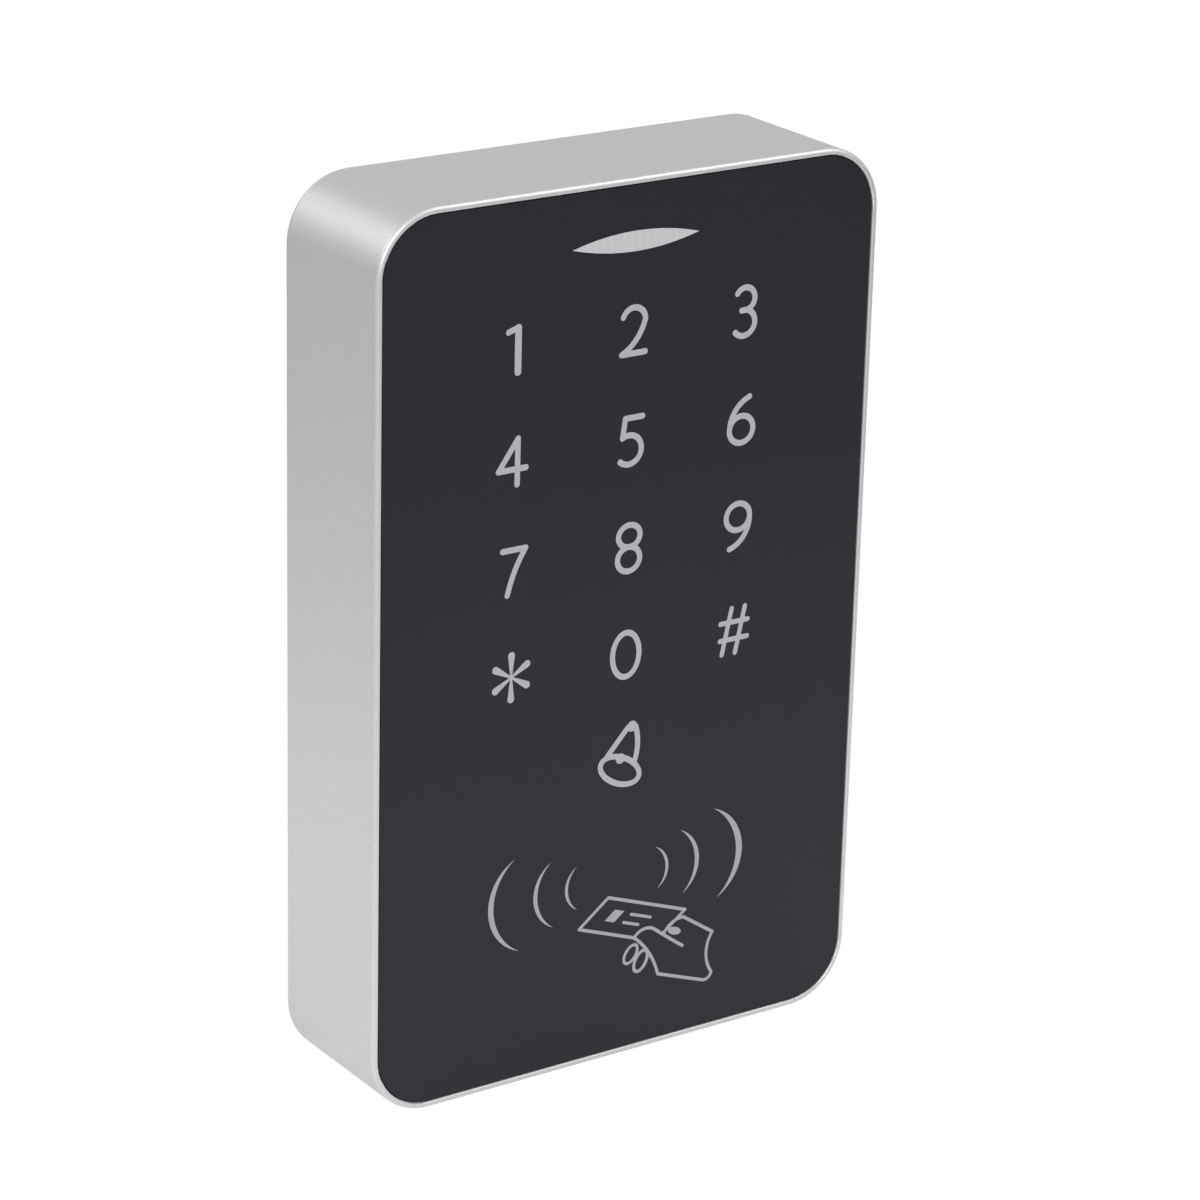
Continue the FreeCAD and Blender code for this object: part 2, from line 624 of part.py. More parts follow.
def buzzer():
    """A round sounder: a cup with a sound hole, and the brass disc inside it."""
    y = Y_MAIN_BACK
    cup = rod("y", BUZZER, BUZZER_R, y, y + 6.0)
    cup = cup.makeFillet(0.5, edges_at(cup, lambda p: p.y > y + 5.99))
    cup = cup.cut(rod("y", BUZZER, BUZZER_R - 0.8, y + 0.6, y + 5.2))
    cup = cup.cut(rod("y", BUZZER, 1.3, y + 5, y + 7))
    shelf = rod("y", BUZZER, BUZZER_R - 0.7, y + 2.6, y + 3.2).cut(rod("y", BUZZER, BUZZER_R - 1.8, y + 2, y + 4))
    disc_plate = fuse([rod("y", BUZZER, BUZZER_R - 0.95, y + 3.2, y + 3.4),
                       rod("y", BUZZER, BUZZER_R - 2.6, y + 3.4, y + 3.6)])
    return fuse([cup, shelf]), disc_plate


CAN_PLACES = ((-24.0, 38.0, 3.15, 5.6), (-14.5, 42.0, 3.15, 5.6), (-26.5, -38.5, 2.5, 5.0))


def capacitors():
    cans, bases = [], []
    for x, z, r, tall in CAN_PLACES:
        y = Y_MAIN_BACK
        foot = block(x, z, 2 * r + 0.4, 2 * r + 0.4, y, y + 0.9)
        corner = [e for e in foot.Edges if abs(e.tangentAt(e.FirstParameter).y) > 0.9 and e.BoundBox.Center.z > z]
        bases.append(foot.makeChamfer(0.8, corner))
        can = rod("y", (x, z), r, y + 0.9, y + tall)
        groove = rod("y", (x, z), r + 1, y + 1.7, y + 2.1).cut(rod("y", (x, z), r - 0.25, y, y + 4))
        can = can.cut(groove)
        can = can.makeFillet(0.4, edges_at(can, lambda p, top=y + tall: p.y > top - 0.01))
        cans.append(can)
    return Part.Compound(cans), Part.Compound(bases)


def power_inductor():
    x, z, y = -24.5, 24.0, Y_MAIN_BACK
    core = rounded(7.0, 7.0, 1.4, y, y + 3.2, x, z)
    core = core.makeFillet(0.35, edges_at(core, lambda p: p.y > y + 3.19))
    return core.cut(rod("y", (x, z), 2.7, y + 2.9, y + 4))


def regulator():
    x, z, y = -25.0, 10.5, Y_MAIN_BACK
    body, legs = leaded_chip(x, z, 6.5, 3.5, 1.6, y, 1, 3, 2.3, "b")
    tab = box((x - 1.5, x + 1.5), (y, y + 0.25), (z + 1.4, z + 3.5))
    return body.cut(tab), legs + [tab]


def diodes():
    made = []
    for z in (12.0, 17.0, 22.0):
        case = block(26.0, z, 4.3, 2.6, Y_MAIN_BACK, Y_MAIN_BACK + 2.1)
        made.append(case.makeChamfer(0.25, edges_at(case, lambda p: p.y > Y_MAIN_BACK + 2.09)))
    return Part.Compound(made)


def chip_parts():
    """Small resistors and capacitors in rows, on both faces of the main board."""
    made = []
    for row, (x0, z0) in enumerate(((-8.0, -12.0), (8.0, -17.0), (-30.0, -6.0), (14.0, 2.0))):
        for i in range(5):
            made.append(block(x0 + i * 2.6, z0 - row * 0.4, 1.3, 2.0, Y_MAIN_BACK, Y_MAIN_BACK + 0.55))
    for i in range(6):
        made.append(block(-20.0 + i * 3.0, 38.0, 1.3, 2.0, Y_MAIN - 0.55, Y_MAIN))
        made.append(block(6.0 + i * 3.0, -2.0, 1.3, 2.0, Y_MAIN - 0.55, Y_MAIN))
    return Part.Compound(made)


TERMINAL_Z = 16.5


def terminal_header():
    """The ten-way wiring connector: an open tray with square pins."""
    ways, pitch, y = 10, 2.5, Y_MAIN_BACK
    tray = block(0, TERMINAL_Z, ways * pitch + 2.4, 5.8, y, y + 6.0)
    tray = tray.cut(block(0, TERMINAL_Z, ways * pitch + 0.8, 4.2, y + 1.6, y + 7))
    for x in (-8.0, 8.0):
        tray = tray.cut(block(x, TERMINAL_Z - 3, 2.0, 3.0, y + 2.4, y + 7))
    pins = []
    for i in range(ways):
        x = (i - (ways - 1) / 2) * pitch
        tray = tray.cut(block(x, TERMINAL_Z, 0.64, 0.64, y - 1, y + 2))
        pins.append(block(x, TERMINAL_Z, 0.64, 0.64, y, y + 5.2))
    return tray, Part.Compound(pins)


TAMPER = (24.0, -30.0)
RESET = (24.0, -12.0)
SWITCH_TOP = Y_MAIN_BACK + 3.6
PLUNGER_R = 1.5


def push_switch(place):
    """A square push-switch body with a metal cover and a round hole for its plunger."""
    x, z = place
    y = Y_MAIN_BACK
    body = block(x, z, 6.0, 6.0, y, SWITCH_TOP)
    for sx in (-1, 1):
        for sz in (-1, 1):
            body = body.cut(rod("y", (x + sx * 2.3, z + sz * 2.3), 0.4, SWITCH_TOP - 0.25, SWITCH_TOP + 1))
    return body.cut(rod("y", place, PLUNGER_R + 0.05, y + 0.6, SWITCH_TOP + 1))


def plunger(place, tip, foot_gap):
    stem = rod("y", place, PLUNGER_R, Y_MAIN_BACK + 0.6 + foot_gap, tip)
    return stem.makeFillet(0.3, edges_at(stem, lambda p: p.y > tip - 0.01))


# ---- wall side ----------------------------------------------------------------------
def slot_cut(z, width, length, y0, y1):
    return rounded(width, length, width / 2 - 0.001, y0, y1, 0, z)


def wall_plate():
    low = -HEIGHT / 2 + WALL_T + PLATE_GAP
    width = CAVITY_W - 2 * PLATE_GAP
    middle = (PLATE_TOP + low) / 2
    plate = rounded(width, PLATE_TOP - low, CAVITY_R - PLATE_GAP, Y_PLATE, 0, 0, middle)
    # shallow pockets in the wall side leave a border and a cross of lands
    for sx in (-1, 1):
        for z0, z1 in ((-53.5, -3.0), (3.0, 52.5)):
            pocket = rounded(22.0, z1 - z0, 2.0, -0.8, 1, sx * 20.5, (z0 + z1) / 2)
            plate = plate.cut(pocket)
    shapes = [plate]
    for x in (-LUG_X, LUG_X):
        span = (x - LUG_LENGTH / 2, x + LUG_LENGTH / 2)
        shapes.append(box(span, (-3.2, -1.0), (52.6, PLATE_TOP)))
        shapes.append(box(span, (-3.2, -2.0), (PLATE_TOP - 0.5, HINGE_Z)))
        shapes.append(rod("x", (HINGE_Y, HINGE_Z), LUG_R, span[0], span[1]))
    tab_front = LOCK_Y - 3.1
    shapes.append(box((-TAB_W / 2, TAB_W / 2), (tab_front, Y_PLATE + 0.5), (TAB_LOW, TAB_HIGH)))
    for x in (-TAB_W / 2, TAB_W / 2 - 1.4):     # gussets over the tab
        foot = [(x, tab_front + 1, TAB_HIGH - 0.5), (x, Y_PLATE + 0.5, TAB_HIGH - 0.5), (x, Y_PLATE + 0.5, -45.0)]
        ring = [V(*p) for p in foot]
        shapes.append(Part.Face(Part.makePolygon(ring + ring[:1])).extrude(V(1.4, 0, 0)))
    collar = rod("y", (0, CABLE_Z), CABLE_HOLE_R + 1.6, Y_PLATE - 0.8, Y_PLATE + 0.5)
    shapes.append(collar)
    for sx in (-1, 1):              # stiffening ribs on the inner side
        shapes.append(box((sx * 12.0 - 0.6, sx * 12.0 + 0.6), (Y_PLATE - 0.8, Y_PLATE + 0.5), (-44.0, 46.0)))
    plate = fuse(shapes)
    plate = plate.cut(rod("y", (0, CABLE_Z), CABLE_HOLE_R, Y_PLATE - 2, 1))
    for z in (-SLOT_SPACING / 2, SLOT_SPACING / 2):
        plate = plate.cut(slot_cut(z, SLOT_W, SLOT_L, Y_PLATE - 2, 1))
    plate = plate.cut(rod("z", (0, LOCK_Y), 2.1, TAB_LOW - 1, TAB_HIGH + 1))
    return plate


def lock_insert():
    """A knurled brass thread insert, pressed into the tab."""
    sleeve = rod("z", (0, LOCK_Y), 2.1, TAB_LOW, TAB_HIGH)
    for z in (TAB_LOW + 1.2, TAB_LOW + 2.4):
        groove = rod("z", (0, LOCK_Y), 3.0, z, z + 0.4).cut(rod("z", (0, LOCK_Y), 1.85, z - 1, z + 1))
        sleeve = sleeve.cut(groove)
    return sleeve.cut(rod("z", (0, LOCK_Y), LOCK_SHANK_R + 0.05, TAB_LOW - 1, TAB_HIGH + 1))


def cable_grommet():
    """A rubber ring in the plate's cable hole, with a flange on its inner side."""
    top = Y_PLATE - 1.7
    neck = rod("y", (0, CABLE_Z), CABLE_HOLE_R, Y_PLATE - 0.8, -0.7)
    flange = rod("y", (0, CABLE_Z), CABLE_HOLE_R + 1.2, top, Y_PLATE - 0.8)
    flange = flange.makeFillet(0.35, edges_at(flange, lambda p: p.y < top + 0.01))
    return fuse([neck, flange]).cut(rod("y", (0, CABLE_Z), GROMMET_R, Y_PLATE - 3, 1))


POCKET_TOP = -HEIGHT / 2 + LOCK_POCKET_DEPTH


def lock_washer():
    top = POCKET_TOP - 0.1
    ring = rod("z", (0, LOCK_Y), 2.9, top - WASHER_T, top)
    return ring.cut(rod("z", (0, LOCK_Y), LOCK_SHANK_R + 0.05, top - 2, top + 1))


def lock_screw():
    """A button-head screw with a hexagon socket and a centre pin."""
    seat = POCKET_TOP - 0.1 - WASHER_T - 0.02
    head_tall = 1.7
    head = rod("z", (0, LOCK_Y), 2.75, seat - head_tall, seat)
    head = head.makeFillet(1.2, edges_at(head, lambda p: p.z < seat - head_tall + 0.01))
    shank = rod("z", (0, LOCK_Y), LOCK_SHANK_R, seat - 0.2, seat + 8.0)
    shank = shank.makeChamfer(0.4, edges_at(shank, lambda p: p.z > seat + 7.99))
    across = 1.0
    corners = []
    for i in range(6):
        a = math.radians(60 * i)
        corners.append(V(across / math.cos(math.pi / 6) * math.cos(a),
                         LOCK_Y + across / math.cos(math.pi / 6) * math.sin(a), seat - head_tall - 1))
    socket = Part.Face(Part.makePolygon(corners + corners[:1])).extrude(V(0, 0, 2.1))
    socket = socket.cut(rod("z", (0, LOCK_Y), 0.3, seat - head_tall + 0.3, seat))
    return fuse([head, shank]).cut(socket)


# ---- build --------------------------------------------------------------------------
legend_makers = {
    "key_legends": key_legends(),
    "bell_legend": bell_legend(),
    "wave_legend": wave_legend(),
    "card_legend": card_legend(),
    "status_window": status_window(),
}
for name, shape in legend_makers.items():
    save(name, shape)
save("panel_film", panel_film(list(legend_makers.values())))
save("front_housing", front_housing())
save("touch_panel", touch_panel())
save("panel_tape", panel_tape())
save("light_guide", light_guide())
save("status_light_pipe", status_light_pipe())
save("touch_board", touch_board())
save("touch_pads", touch_pads())
save("key_lights", lights(LED_PLACES))
save("status_lights", lights(STATUS_PLACES))

touch_chip, touch_legs = leaded_chip(14.0, -24.5, 5.3, 6.2, 1.2, Y_TOUCH_BACK, 1, 8, 0.65, "lr")
save("touch_chip", touch_chip)
processor, processor_legs = leaded_chip(2.0, 14.0, 7.0, 7.0, 1.4, Y_MAIN, -1, 8, 0.8, "lrtb")
save("processor", processor)
reader_chip, reader_legs = leaded_chip(0.0, -34.5, 8.6, 3.9, 1.5, Y_MAIN, -1, 7, 1.1, "tb")
save("reader_chip", reader_chip)
strip, socket, header_metal = header()
save("header_strip", strip)
save("header_socket", socket)
save("header_pins", header_metal)
save("main_board", main_board())
save("board_screws", board_screws())
save("antenna_coil", antenna_coil())
save("coil_pad", coil_pad())
save("crystal", crystal())
relay_names = ("relay_base", "relay_case", "relay_yoke", "relay_bobbin", "relay_winding",
               "relay_armature", "relay_contacts")
for name, shape in zip(relay_names, relay()):
    save(name, shape)
buzzer_case, buzzer_disc = buzzer()
save("buzzer_case", buzzer_case)
save("buzzer_disc", buzzer_disc)
cans, bases = capacitors()
save("capacitors", cans)
save("capacitor_bases", bases)
save("power_inductor", power_inductor())
power_chip, power_legs = regulator()
save("regulator", power_chip)
save("chip_legs", Part.Compound(touch_legs + processor_legs + reader_legs + power_legs))
save("diodes", diodes())
save("chip_parts", chip_parts())
tray, pins = terminal_header()
save("terminal_header", tray)
save("terminal_pins", pins)
save("tamper_switch", push_switch(TAMPER))
save("tamper_plunger", plunger(TAMPER, Y_PLATE - 0.15, 1.2))
save("reset_switch", push_switch(RESET))
save("reset_button", plunger(RESET, SWITCH_TOP + 1.4, 0.4))

save("wall_plate", wall_plate())
save("lock_insert", lock_insert())
save("cable_grommet", cable_grommet())
save("lock_washer", lock_washer())
save("lock_screw", lock_screw())
print(len(os.listdir("parts")), "sub-parts")
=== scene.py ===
import json
import math
import random

import bmesh
import bpy
from mathutils import Matrix, Vector


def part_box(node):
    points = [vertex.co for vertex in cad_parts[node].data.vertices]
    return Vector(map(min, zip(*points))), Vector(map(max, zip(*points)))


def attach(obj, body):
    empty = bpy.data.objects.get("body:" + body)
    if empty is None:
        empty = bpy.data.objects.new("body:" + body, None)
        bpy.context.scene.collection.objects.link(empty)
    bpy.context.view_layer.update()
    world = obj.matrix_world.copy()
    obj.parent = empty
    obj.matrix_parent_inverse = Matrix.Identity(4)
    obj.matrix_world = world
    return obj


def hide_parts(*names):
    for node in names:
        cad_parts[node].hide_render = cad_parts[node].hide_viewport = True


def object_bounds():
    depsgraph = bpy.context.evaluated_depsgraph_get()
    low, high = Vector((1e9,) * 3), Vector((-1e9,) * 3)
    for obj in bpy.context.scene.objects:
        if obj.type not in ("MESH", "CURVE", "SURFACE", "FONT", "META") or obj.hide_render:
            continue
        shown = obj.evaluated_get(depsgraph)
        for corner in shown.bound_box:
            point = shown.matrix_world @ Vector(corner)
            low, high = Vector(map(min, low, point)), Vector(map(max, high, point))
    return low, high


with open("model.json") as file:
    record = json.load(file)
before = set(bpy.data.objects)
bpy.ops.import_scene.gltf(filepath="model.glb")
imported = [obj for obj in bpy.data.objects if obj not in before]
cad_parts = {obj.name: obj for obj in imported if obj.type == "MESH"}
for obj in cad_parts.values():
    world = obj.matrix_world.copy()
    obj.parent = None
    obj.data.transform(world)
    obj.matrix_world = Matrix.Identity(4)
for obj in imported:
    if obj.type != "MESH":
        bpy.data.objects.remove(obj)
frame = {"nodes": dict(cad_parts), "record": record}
cad_low, cad_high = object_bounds()
nodes = frame["nodes"]
scene = bpy.context.scene
MM = 0.001


# ---- camera -------------------------------------------------------------------------
CAMERA_AZIMUTH = math.radians(-34.663)
CAMERA_ELEVATION = math.radians(20.204)
CAMERA_ROLL = math.radians(1.450)
CAMERA_LENS = 126.70
CAMERA_FROM_FRONT = Vector((-0.29065, -0.41415, 0.19059))    # from the middle of the front plane


def add_camera():
    middle = Vector(((cad_low.x + cad_high.x) / 2, cad_low.y, (cad_low.z + cad_high.z) / 2))
    level = math.cos(CAMERA_ELEVATION)
    back = Vector((math.sin(CAMERA_AZIMUTH) * level, -math.cos(CAMERA_AZIMUTH) * level,
                   math.sin(CAMERA_ELEVATION)))
    side = Vector((math.cos(CAMERA_AZIMUTH), math.sin(CAMERA_AZIMUTH), 0))
    up = back.cross(side)
    turned_side = side * math.cos(CAMERA_ROLL) + up * math.sin(CAMERA_ROLL)
    turned_up = back.cross(turned_side)
    data = bpy.data.cameras.new("camera")
    data.lens = CAMERA_LENS
    data.sensor_width = 36
    camera = bpy.data.objects.new("camera", data)
    turn = Matrix((turned_side, turned_up, back)).transposed().to_4x4()
    camera.matrix_world = Matrix.Translation(middle + CAMERA_FROM_FRONT) @ turn
    scene.collection.objects.link(camera)
    scene.camera = camera


# ---- light and floor ----------------------------------------------------------------
FLOOR_DROP = 0.0035                 # leaves room for the lock screw to wind out
WORLD_LIGHT = 0.614                  # the studio's own light, apart from the lamps
FLOOR_PALE_TO = 0.10                # painted shade: the floor's colour darkens between these two distances
FLOOR_DARK_FROM = 0.32


def add_area_light(name, place, target, size, power, colour=(1, 1, 1)):
    data = bpy.data.lights.new(name, "AREA")
    data.shape = "RECTANGLE"
    data.size, data.size_y = size
    data.energy = power
    data.color = colour
    light = bpy.data.objects.new(name, data)
    light.location = place
    light.rotation_euler = (Vector(target) - Vector(place)).to_track_quat("-Z", "Y").to_euler()
    light.visible_camera = False
    scene.collection.objects.link(light)


def white_to_camera(tree, shader_output, out):
    """What the camera sees is plain white; everything else is lit by the shader given."""
    white = tree.nodes.new("ShaderNodeEmission")
    path = tree.nodes.new("ShaderNodeLightPath")
    mix = tree.nodes.new("ShaderNodeMixShader")
    tree.links.new(path.outputs["Is Camera Ray"], mix.inputs["Fac"])
    tree.links.new(shader_output, mix.inputs[1])
    tree.links.new(white.outputs[0], mix.inputs[2])
    tree.links.new(mix.outputs[0], out.inputs["Surface"])


def add_world():
    world = bpy.data.worlds.new("studio")
    scene.world = world
    world.use_nodes = True
    tree = world.node_tree
    tree.nodes.clear()
    lighting = tree.nodes.new("ShaderNodeBackground")
    lighting.inputs["Color"].default_value = (1, 1, 1, 1)
    lighting.inputs["Strength"].default_value = WORLD_LIGHT
    white_to_camera(tree, lighting.outputs[0], tree.nodes.new("ShaderNodeOutputWorld"))


def add_lights():
    """Four weak soft boxes: two behind the left side, one at the front right, one at the front left."""
    add_area_light("corner_glow", (-0.30, 0.66, 0.46), (0, 0, 0.03), (0.40, 0.30), 0.25)
    add_area_light("left_rear", (-0.70, 0.50, 0.60), (0, 0, 0), (0.50, 0.50), 1.8)
    add_area_light("right_front", (0.50, -0.34, 0.72), (0, 0, 0), (0.60, 0.60), 2.7)
    add_area_light("left_front", (-0.70, -0.90, 0.70), (0, 0, 0), (0.60, 0.60), 11.3)


def add_floor():
    """Pale round the object and darker further out: painted shade in the floor's colour, standing for where
    the studio's light falls away.
    """
    side = 3.0
    mesh = bpy.data.meshes.new("floor")
    corners = [(-side, -side, 0), (side, -side, 0), (side, side, 0), (-side, side, 0)]
    mesh.from_pydata(corners, [], [(0, 1, 2, 3)])
    floor = bpy.data.objects.new("floor", mesh)
    floor.location = (0, 0, cad_low.z - FLOOR_DROP)
    scene.collection.objects.link(floor)
    material, shader = plain_material("floor_pale", (0.9, 0.9, 0.9), 0.7)
    distance = add_node(material, "VectorMath", operation="LENGTH")
    join(material, place_in_object(material), distance.inputs[0])
    # painted shade: base colour 0.90 near the object falling to 0.42 far out
    pale = spread(material, distance.outputs["Value"], 0.90, 0.42, FLOOR_PALE_TO, FLOOR_DARK_FROM)
    join(material, pale, shader.inputs["Base Color"])
    tree = material.node_tree
    out = tree.nodes["Material Output"]
    white_to_camera(tree, shader.outputs[0], out)
    top_side = out.inputs["Surface"].links[0].from_socket
    see_through = add_node(material, "MixShader")         # so that the underside can be looked at
    join(material, add_node(material, "NewGeometry").outputs["Backfacing"], see_through.inputs["Fac"])
    join(material, top_side, see_through.inputs[1])
    join(material, add_node(material, "BsdfTransparent").outputs[0], see_through.inputs[2])
    join(material, see_through.outputs[0], out.inputs["Surface"])
    mesh.materials.append(material)


# ---- material building blocks -------------------------------------------------------
def plain_material(name, colour, roughness, metallic=0.0):
    material = bpy.data.materials.new(name)
    material.use_nodes = True
    shader = material.node_tree.nodes["Principled BSDF"]
    shader.inputs["Base Color"].default_value = (*colour, 1)
    shader.inputs["Roughness"].default_value = roughness
    shader.inputs["Metallic"].default_value = metallic
    return material, shader


def add_node(material, kind, **values):
    node = material.node_tree.nodes.new("ShaderNode" + kind)
    for name, value in values.items():
        if hasattr(node, name):
            setattr(node, name, value)
        else:
            node.inputs[name.replace("_", " ")].default_value = value
    return node


def join(material, source, target):
    material.node_tree.links.new(source, target)


def place_in_object(material):
    """Coordinates in the object's own metres, so a pattern doesn't slide when a body moves."""
    return add_node(material, "TexCoord").outputs["Object"]


def noise(material, size, detail=3.0, rough=0.55):
    """Noise whose features are about size metres across."""
    node = add_node(material, "TexNoise", Scale=1.0 / size, Detail=detail, Roughness=rough)
    join(material, place_in_object(material), node.inputs["Vector"])
    return node.outputs["Fac"]


def spread(material, value, low, high, from_low=0.3, from_high=0.7):
    node = add_node(material, "MapRange")
    node.inputs["From Min"].default_value = from_low
    node.inputs["From Max"].default_value = from_high
    node.inputs["To Min"].default_value = low
    node.inputs["To Max"].default_value = high
    join(material, value, node.inputs["Value"])
    return node.outputs["Result"]


def blend_colours(material, factor, one, two):
    node = add_node(material, "Mix", data_type="RGBA")
    join(material, factor, node.inputs["Factor"])
    for socket in node.inputs:
        if socket.type == "RGBA" and socket.name == "A":
            socket.default_value = (*one, 1)
        if socket.type == "RGBA" and socket.name == "B":
            socket.default_value = (*two, 1)
    return [s for s in node.outputs if s.type == "RGBA"][0]


def bump(material, shader, heights, depth, strength=1.0):
    """Raises the surface by up to depth metres where heights is 1."""
    node = add_node(material, "Bump", Strength=strength, Distance=depth)
    join(material, heights, node.inputs["Height"])
    join(material, node.outputs["Normal"], shader.inputs["Normal"])
    return node


def moulded(name, colour, roughness, tint=0.12, grain=0.0004, depth=0.000004):
    """Moulded plastic: a fine sparked grain and slow changes of tone and gloss."""
    material, shader = plain_material(name, colour, roughness)
    slow = noise(material, 0.018)
    darker = tuple(c * (1 - tint) for c in colour)
    join(material, blend_colours(material, spread(material, slow, 0, 1), darker, colour),
         shader.inputs["Base Color"])
    fine = noise(material, grain, 2.0)
    join(material, spread(material, fine, roughness - 0.05, roughness + 0.06), shader.inputs["Roughness"])
    bump(material, shader, fine, depth)
    return material


def metal(name, colour, roughness, grain=0.00025, depth=0.000002, spread_by=0.06):
    material, shader = plain_material(name, colour, roughness, 1.0)
    fine = noise(material, grain, 4.0)
    join(material, spread(material, fine, max(roughness - spread_by, 0.02), roughness + spread_by),
         shader.inputs["Roughness"])
    slow = noise(material, 0.006)
    darker = tuple(c * 0.85 for c in colour)
    join(material, blend_colours(material, spread(material, slow, 0, 1), darker, colour),
         shader.inputs["Base Color"])
    bump(material, shader, fine, depth)
    return material


# ---- the materials ------------------------------------------------------------------
def silver_paint():
    """Satin silver paint: fine aluminium flake under a thin clear coat."""
    colour = (0.557, 0.560, 0.562)
    material, shader = plain_material("silver_paint", colour, 0.40, 0.65)
    shader.inputs["Coat Weight"].default_value = 0.15
    shader.inputs["Coat Roughness"].default_value = 0.30
    cells = add_node(material, "TexVoronoi", Scale=1.0 / 0.00016)
    join(material, place_in_object(material), cells.inputs["Vector"])
    flake = add_node(material, "SeparateColor")
    join(material, cells.outputs["Color"], flake.inputs["Color"])
    lighter = tuple(c * 1.05 for c in colour)
    darker = tuple(c * 0.96 for c in colour)
    join(material, blend_colours(material, flake.outputs["Red"], darker, lighter),
         shader.inputs["Base Color"])
    join(material, spread(material, flake.outputs["Green"], 0.38, 0.44, 0, 1), shader.inputs["Roughness"])
    peel = noise(material, 0.0011, 2.0)
    bump(material, shader, peel, 0.000004)
    return material


def black_film():
    """Printed polycarbonate film with a very fine velvet grain."""
    colour = (0.0054, 0.0060, 0.0112)
    material, shader = plain_material("black_film", colour, 0.40)
    shader.inputs["Specular IOR Level"].default_value = 0.34
    fine = noise(material, 0.00022, 2.0)
    join(material, spread(material, fine, 0.38, 0.48), shader.inputs["Roughness"])
    slow = noise(material, 0.03)
    join(material, blend_colours(material, spread(material, slow, 0, 1), (0.0047, 0.0052, 0.0102), colour),
         shader.inputs["Base Color"])
    bump(material, shader, fine, 0.0000035)
    return material


def legend_ink(name="legend_ink", tone=0.335):
    """Translucent light grey ink, faintly blue, in the film's windows."""
    tint = Vector((tone, tone * 1.012, tone * 1.055))
    material, shader = plain_material(name, tuple(tint), 0.45)
    speck = noise(material, 0.0003, 2.0)
    mottled = blend_colours(material, spread(material, speck, 0, 1), tuple(tint * 0.95), tuple(tint * 1.05))
    join(material, mottled, shader.inputs["Base Color"])
    bump(material, shader, speck, 0.000002)
    return material


def status_lens():
    """Frosted window: paler than the keys, with a very faint ribbed diffuser behind it."""
    material, shader = plain_material("status_lens", (0.43, 0.438, 0.448), 0.3)
    ribs = add_node(material, "TexWave", Scale=1.0 / 0.0035, Distortion=0.0)
    ribs.bands_direction = "X"
    join(material, place_in_object(material), ribs.inputs["Vector"])
    ribbed = blend_colours(material, ribs.outputs["Fac"], (0.423, 0.430, 0.440), (0.440, 0.448, 0.458))
    join(material, ribbed, shader.inputs["Base Color"])
    shader.inputs["Coat Weight"].default_value = 0.3
    return material


def clear_sheet(name, colour, roughness):
    material, shader = plain_material(name, colour, roughness)
    shader.inputs["Transmission Weight"].default_value = 0.85
    shader.inputs["IOR"].default_value = 1.49
    haze = noise(material, 0.002, 2.0)
    join(material, spread(material, haze, roughness, roughness + 0.05), shader.inputs["Roughness"])
    return material


def circuit_board():
    """Solder mask over glass cloth: the weave just shows, crossed by slow changes of tone."""
    material, shader = plain_material("board_green", (0.012, 0.10, 0.035), 0.28)
    weave = []
    for direction in ("X", "Z"):
        threads = add_node(material, "TexWave", Scale=0.159 / 0.0005, Distortion=0.6)
        threads.bands_direction = direction
        join(material, place_in_object(material), threads.inputs["Vector"])
        weave.append(threads.outputs["Fac"])
    cloth = add_node(material, "Math", operation="MULTIPLY")
    join(material, weave[0], cloth.inputs[0])
    join(material, weave[1], cloth.inputs[1])
    tone = add_node(material, "Math", operation="MULTIPLY_ADD")
    join(material, cloth.outputs[0], tone.inputs[0])
    tone.inputs[1].default_value = 0.35
    join(material, spread(material, noise(material, 0.012), 0, 0.65), tone.inputs[2])
    join(material, blend_colours(material, tone.outputs[0], (0.009, 0.080, 0.028), (0.014, 0.108, 0.038)),
         shader.inputs["Base Color"])
    bump(material, shader, cloth.outputs[0], 0.000006)
    shader.inputs["Coat Weight"].default_value = 0.4
    return material


def enamelled_wire():
    """Copper wire under a clear amber enamel, for the windings whose turns are modelled."""
    material = metal("enamelled_wire", (0.62, 0.22, 0.075), 0.28, 0.0006, 0.000002)
    shader = material.node_tree.nodes["Principled BSDF"]
    shader.inputs["Coat Weight"].default_value = 0.5
    return material


def wall_plastic():
    """The wall plate's black moulding, with a coarser spark texture."""
    return moulded("plate_black", (0.028, 0.028, 0.030), 0.52, 0.2, 0.00035, 0.000012)


def rubber():
    return moulded("rubber_black", (0.018, 0.018, 0.018), 0.72, 0.25, 0.0006, 0.00001)


def board_ink():
    """White silkscreen ink, a little uneven where the mask's texture shows through."""
    return moulded("board_ink", (0.74, 0.74, 0.71), 0.6, 0.1, 0.0003, 0.000004)


def track_mask():
    """Solder mask where it lies over copper: lighter and yellower than over bare board."""
    material, shader = plain_material("track_mask", (0.030, 0.18, 0.060), 0.26)
    speck = noise(material, 0.0008, 2.0)
    patches = spread(material, speck, 0, 1)
    mottled = blend_colours(material, patches, (0.022, 0.15, 0.05), (0.036, 0.20, 0.07))
    join(material, mottled, shader.inputs["Base Color"])
    shader.inputs["Coat Weight"].default_value = 0.4
    return material


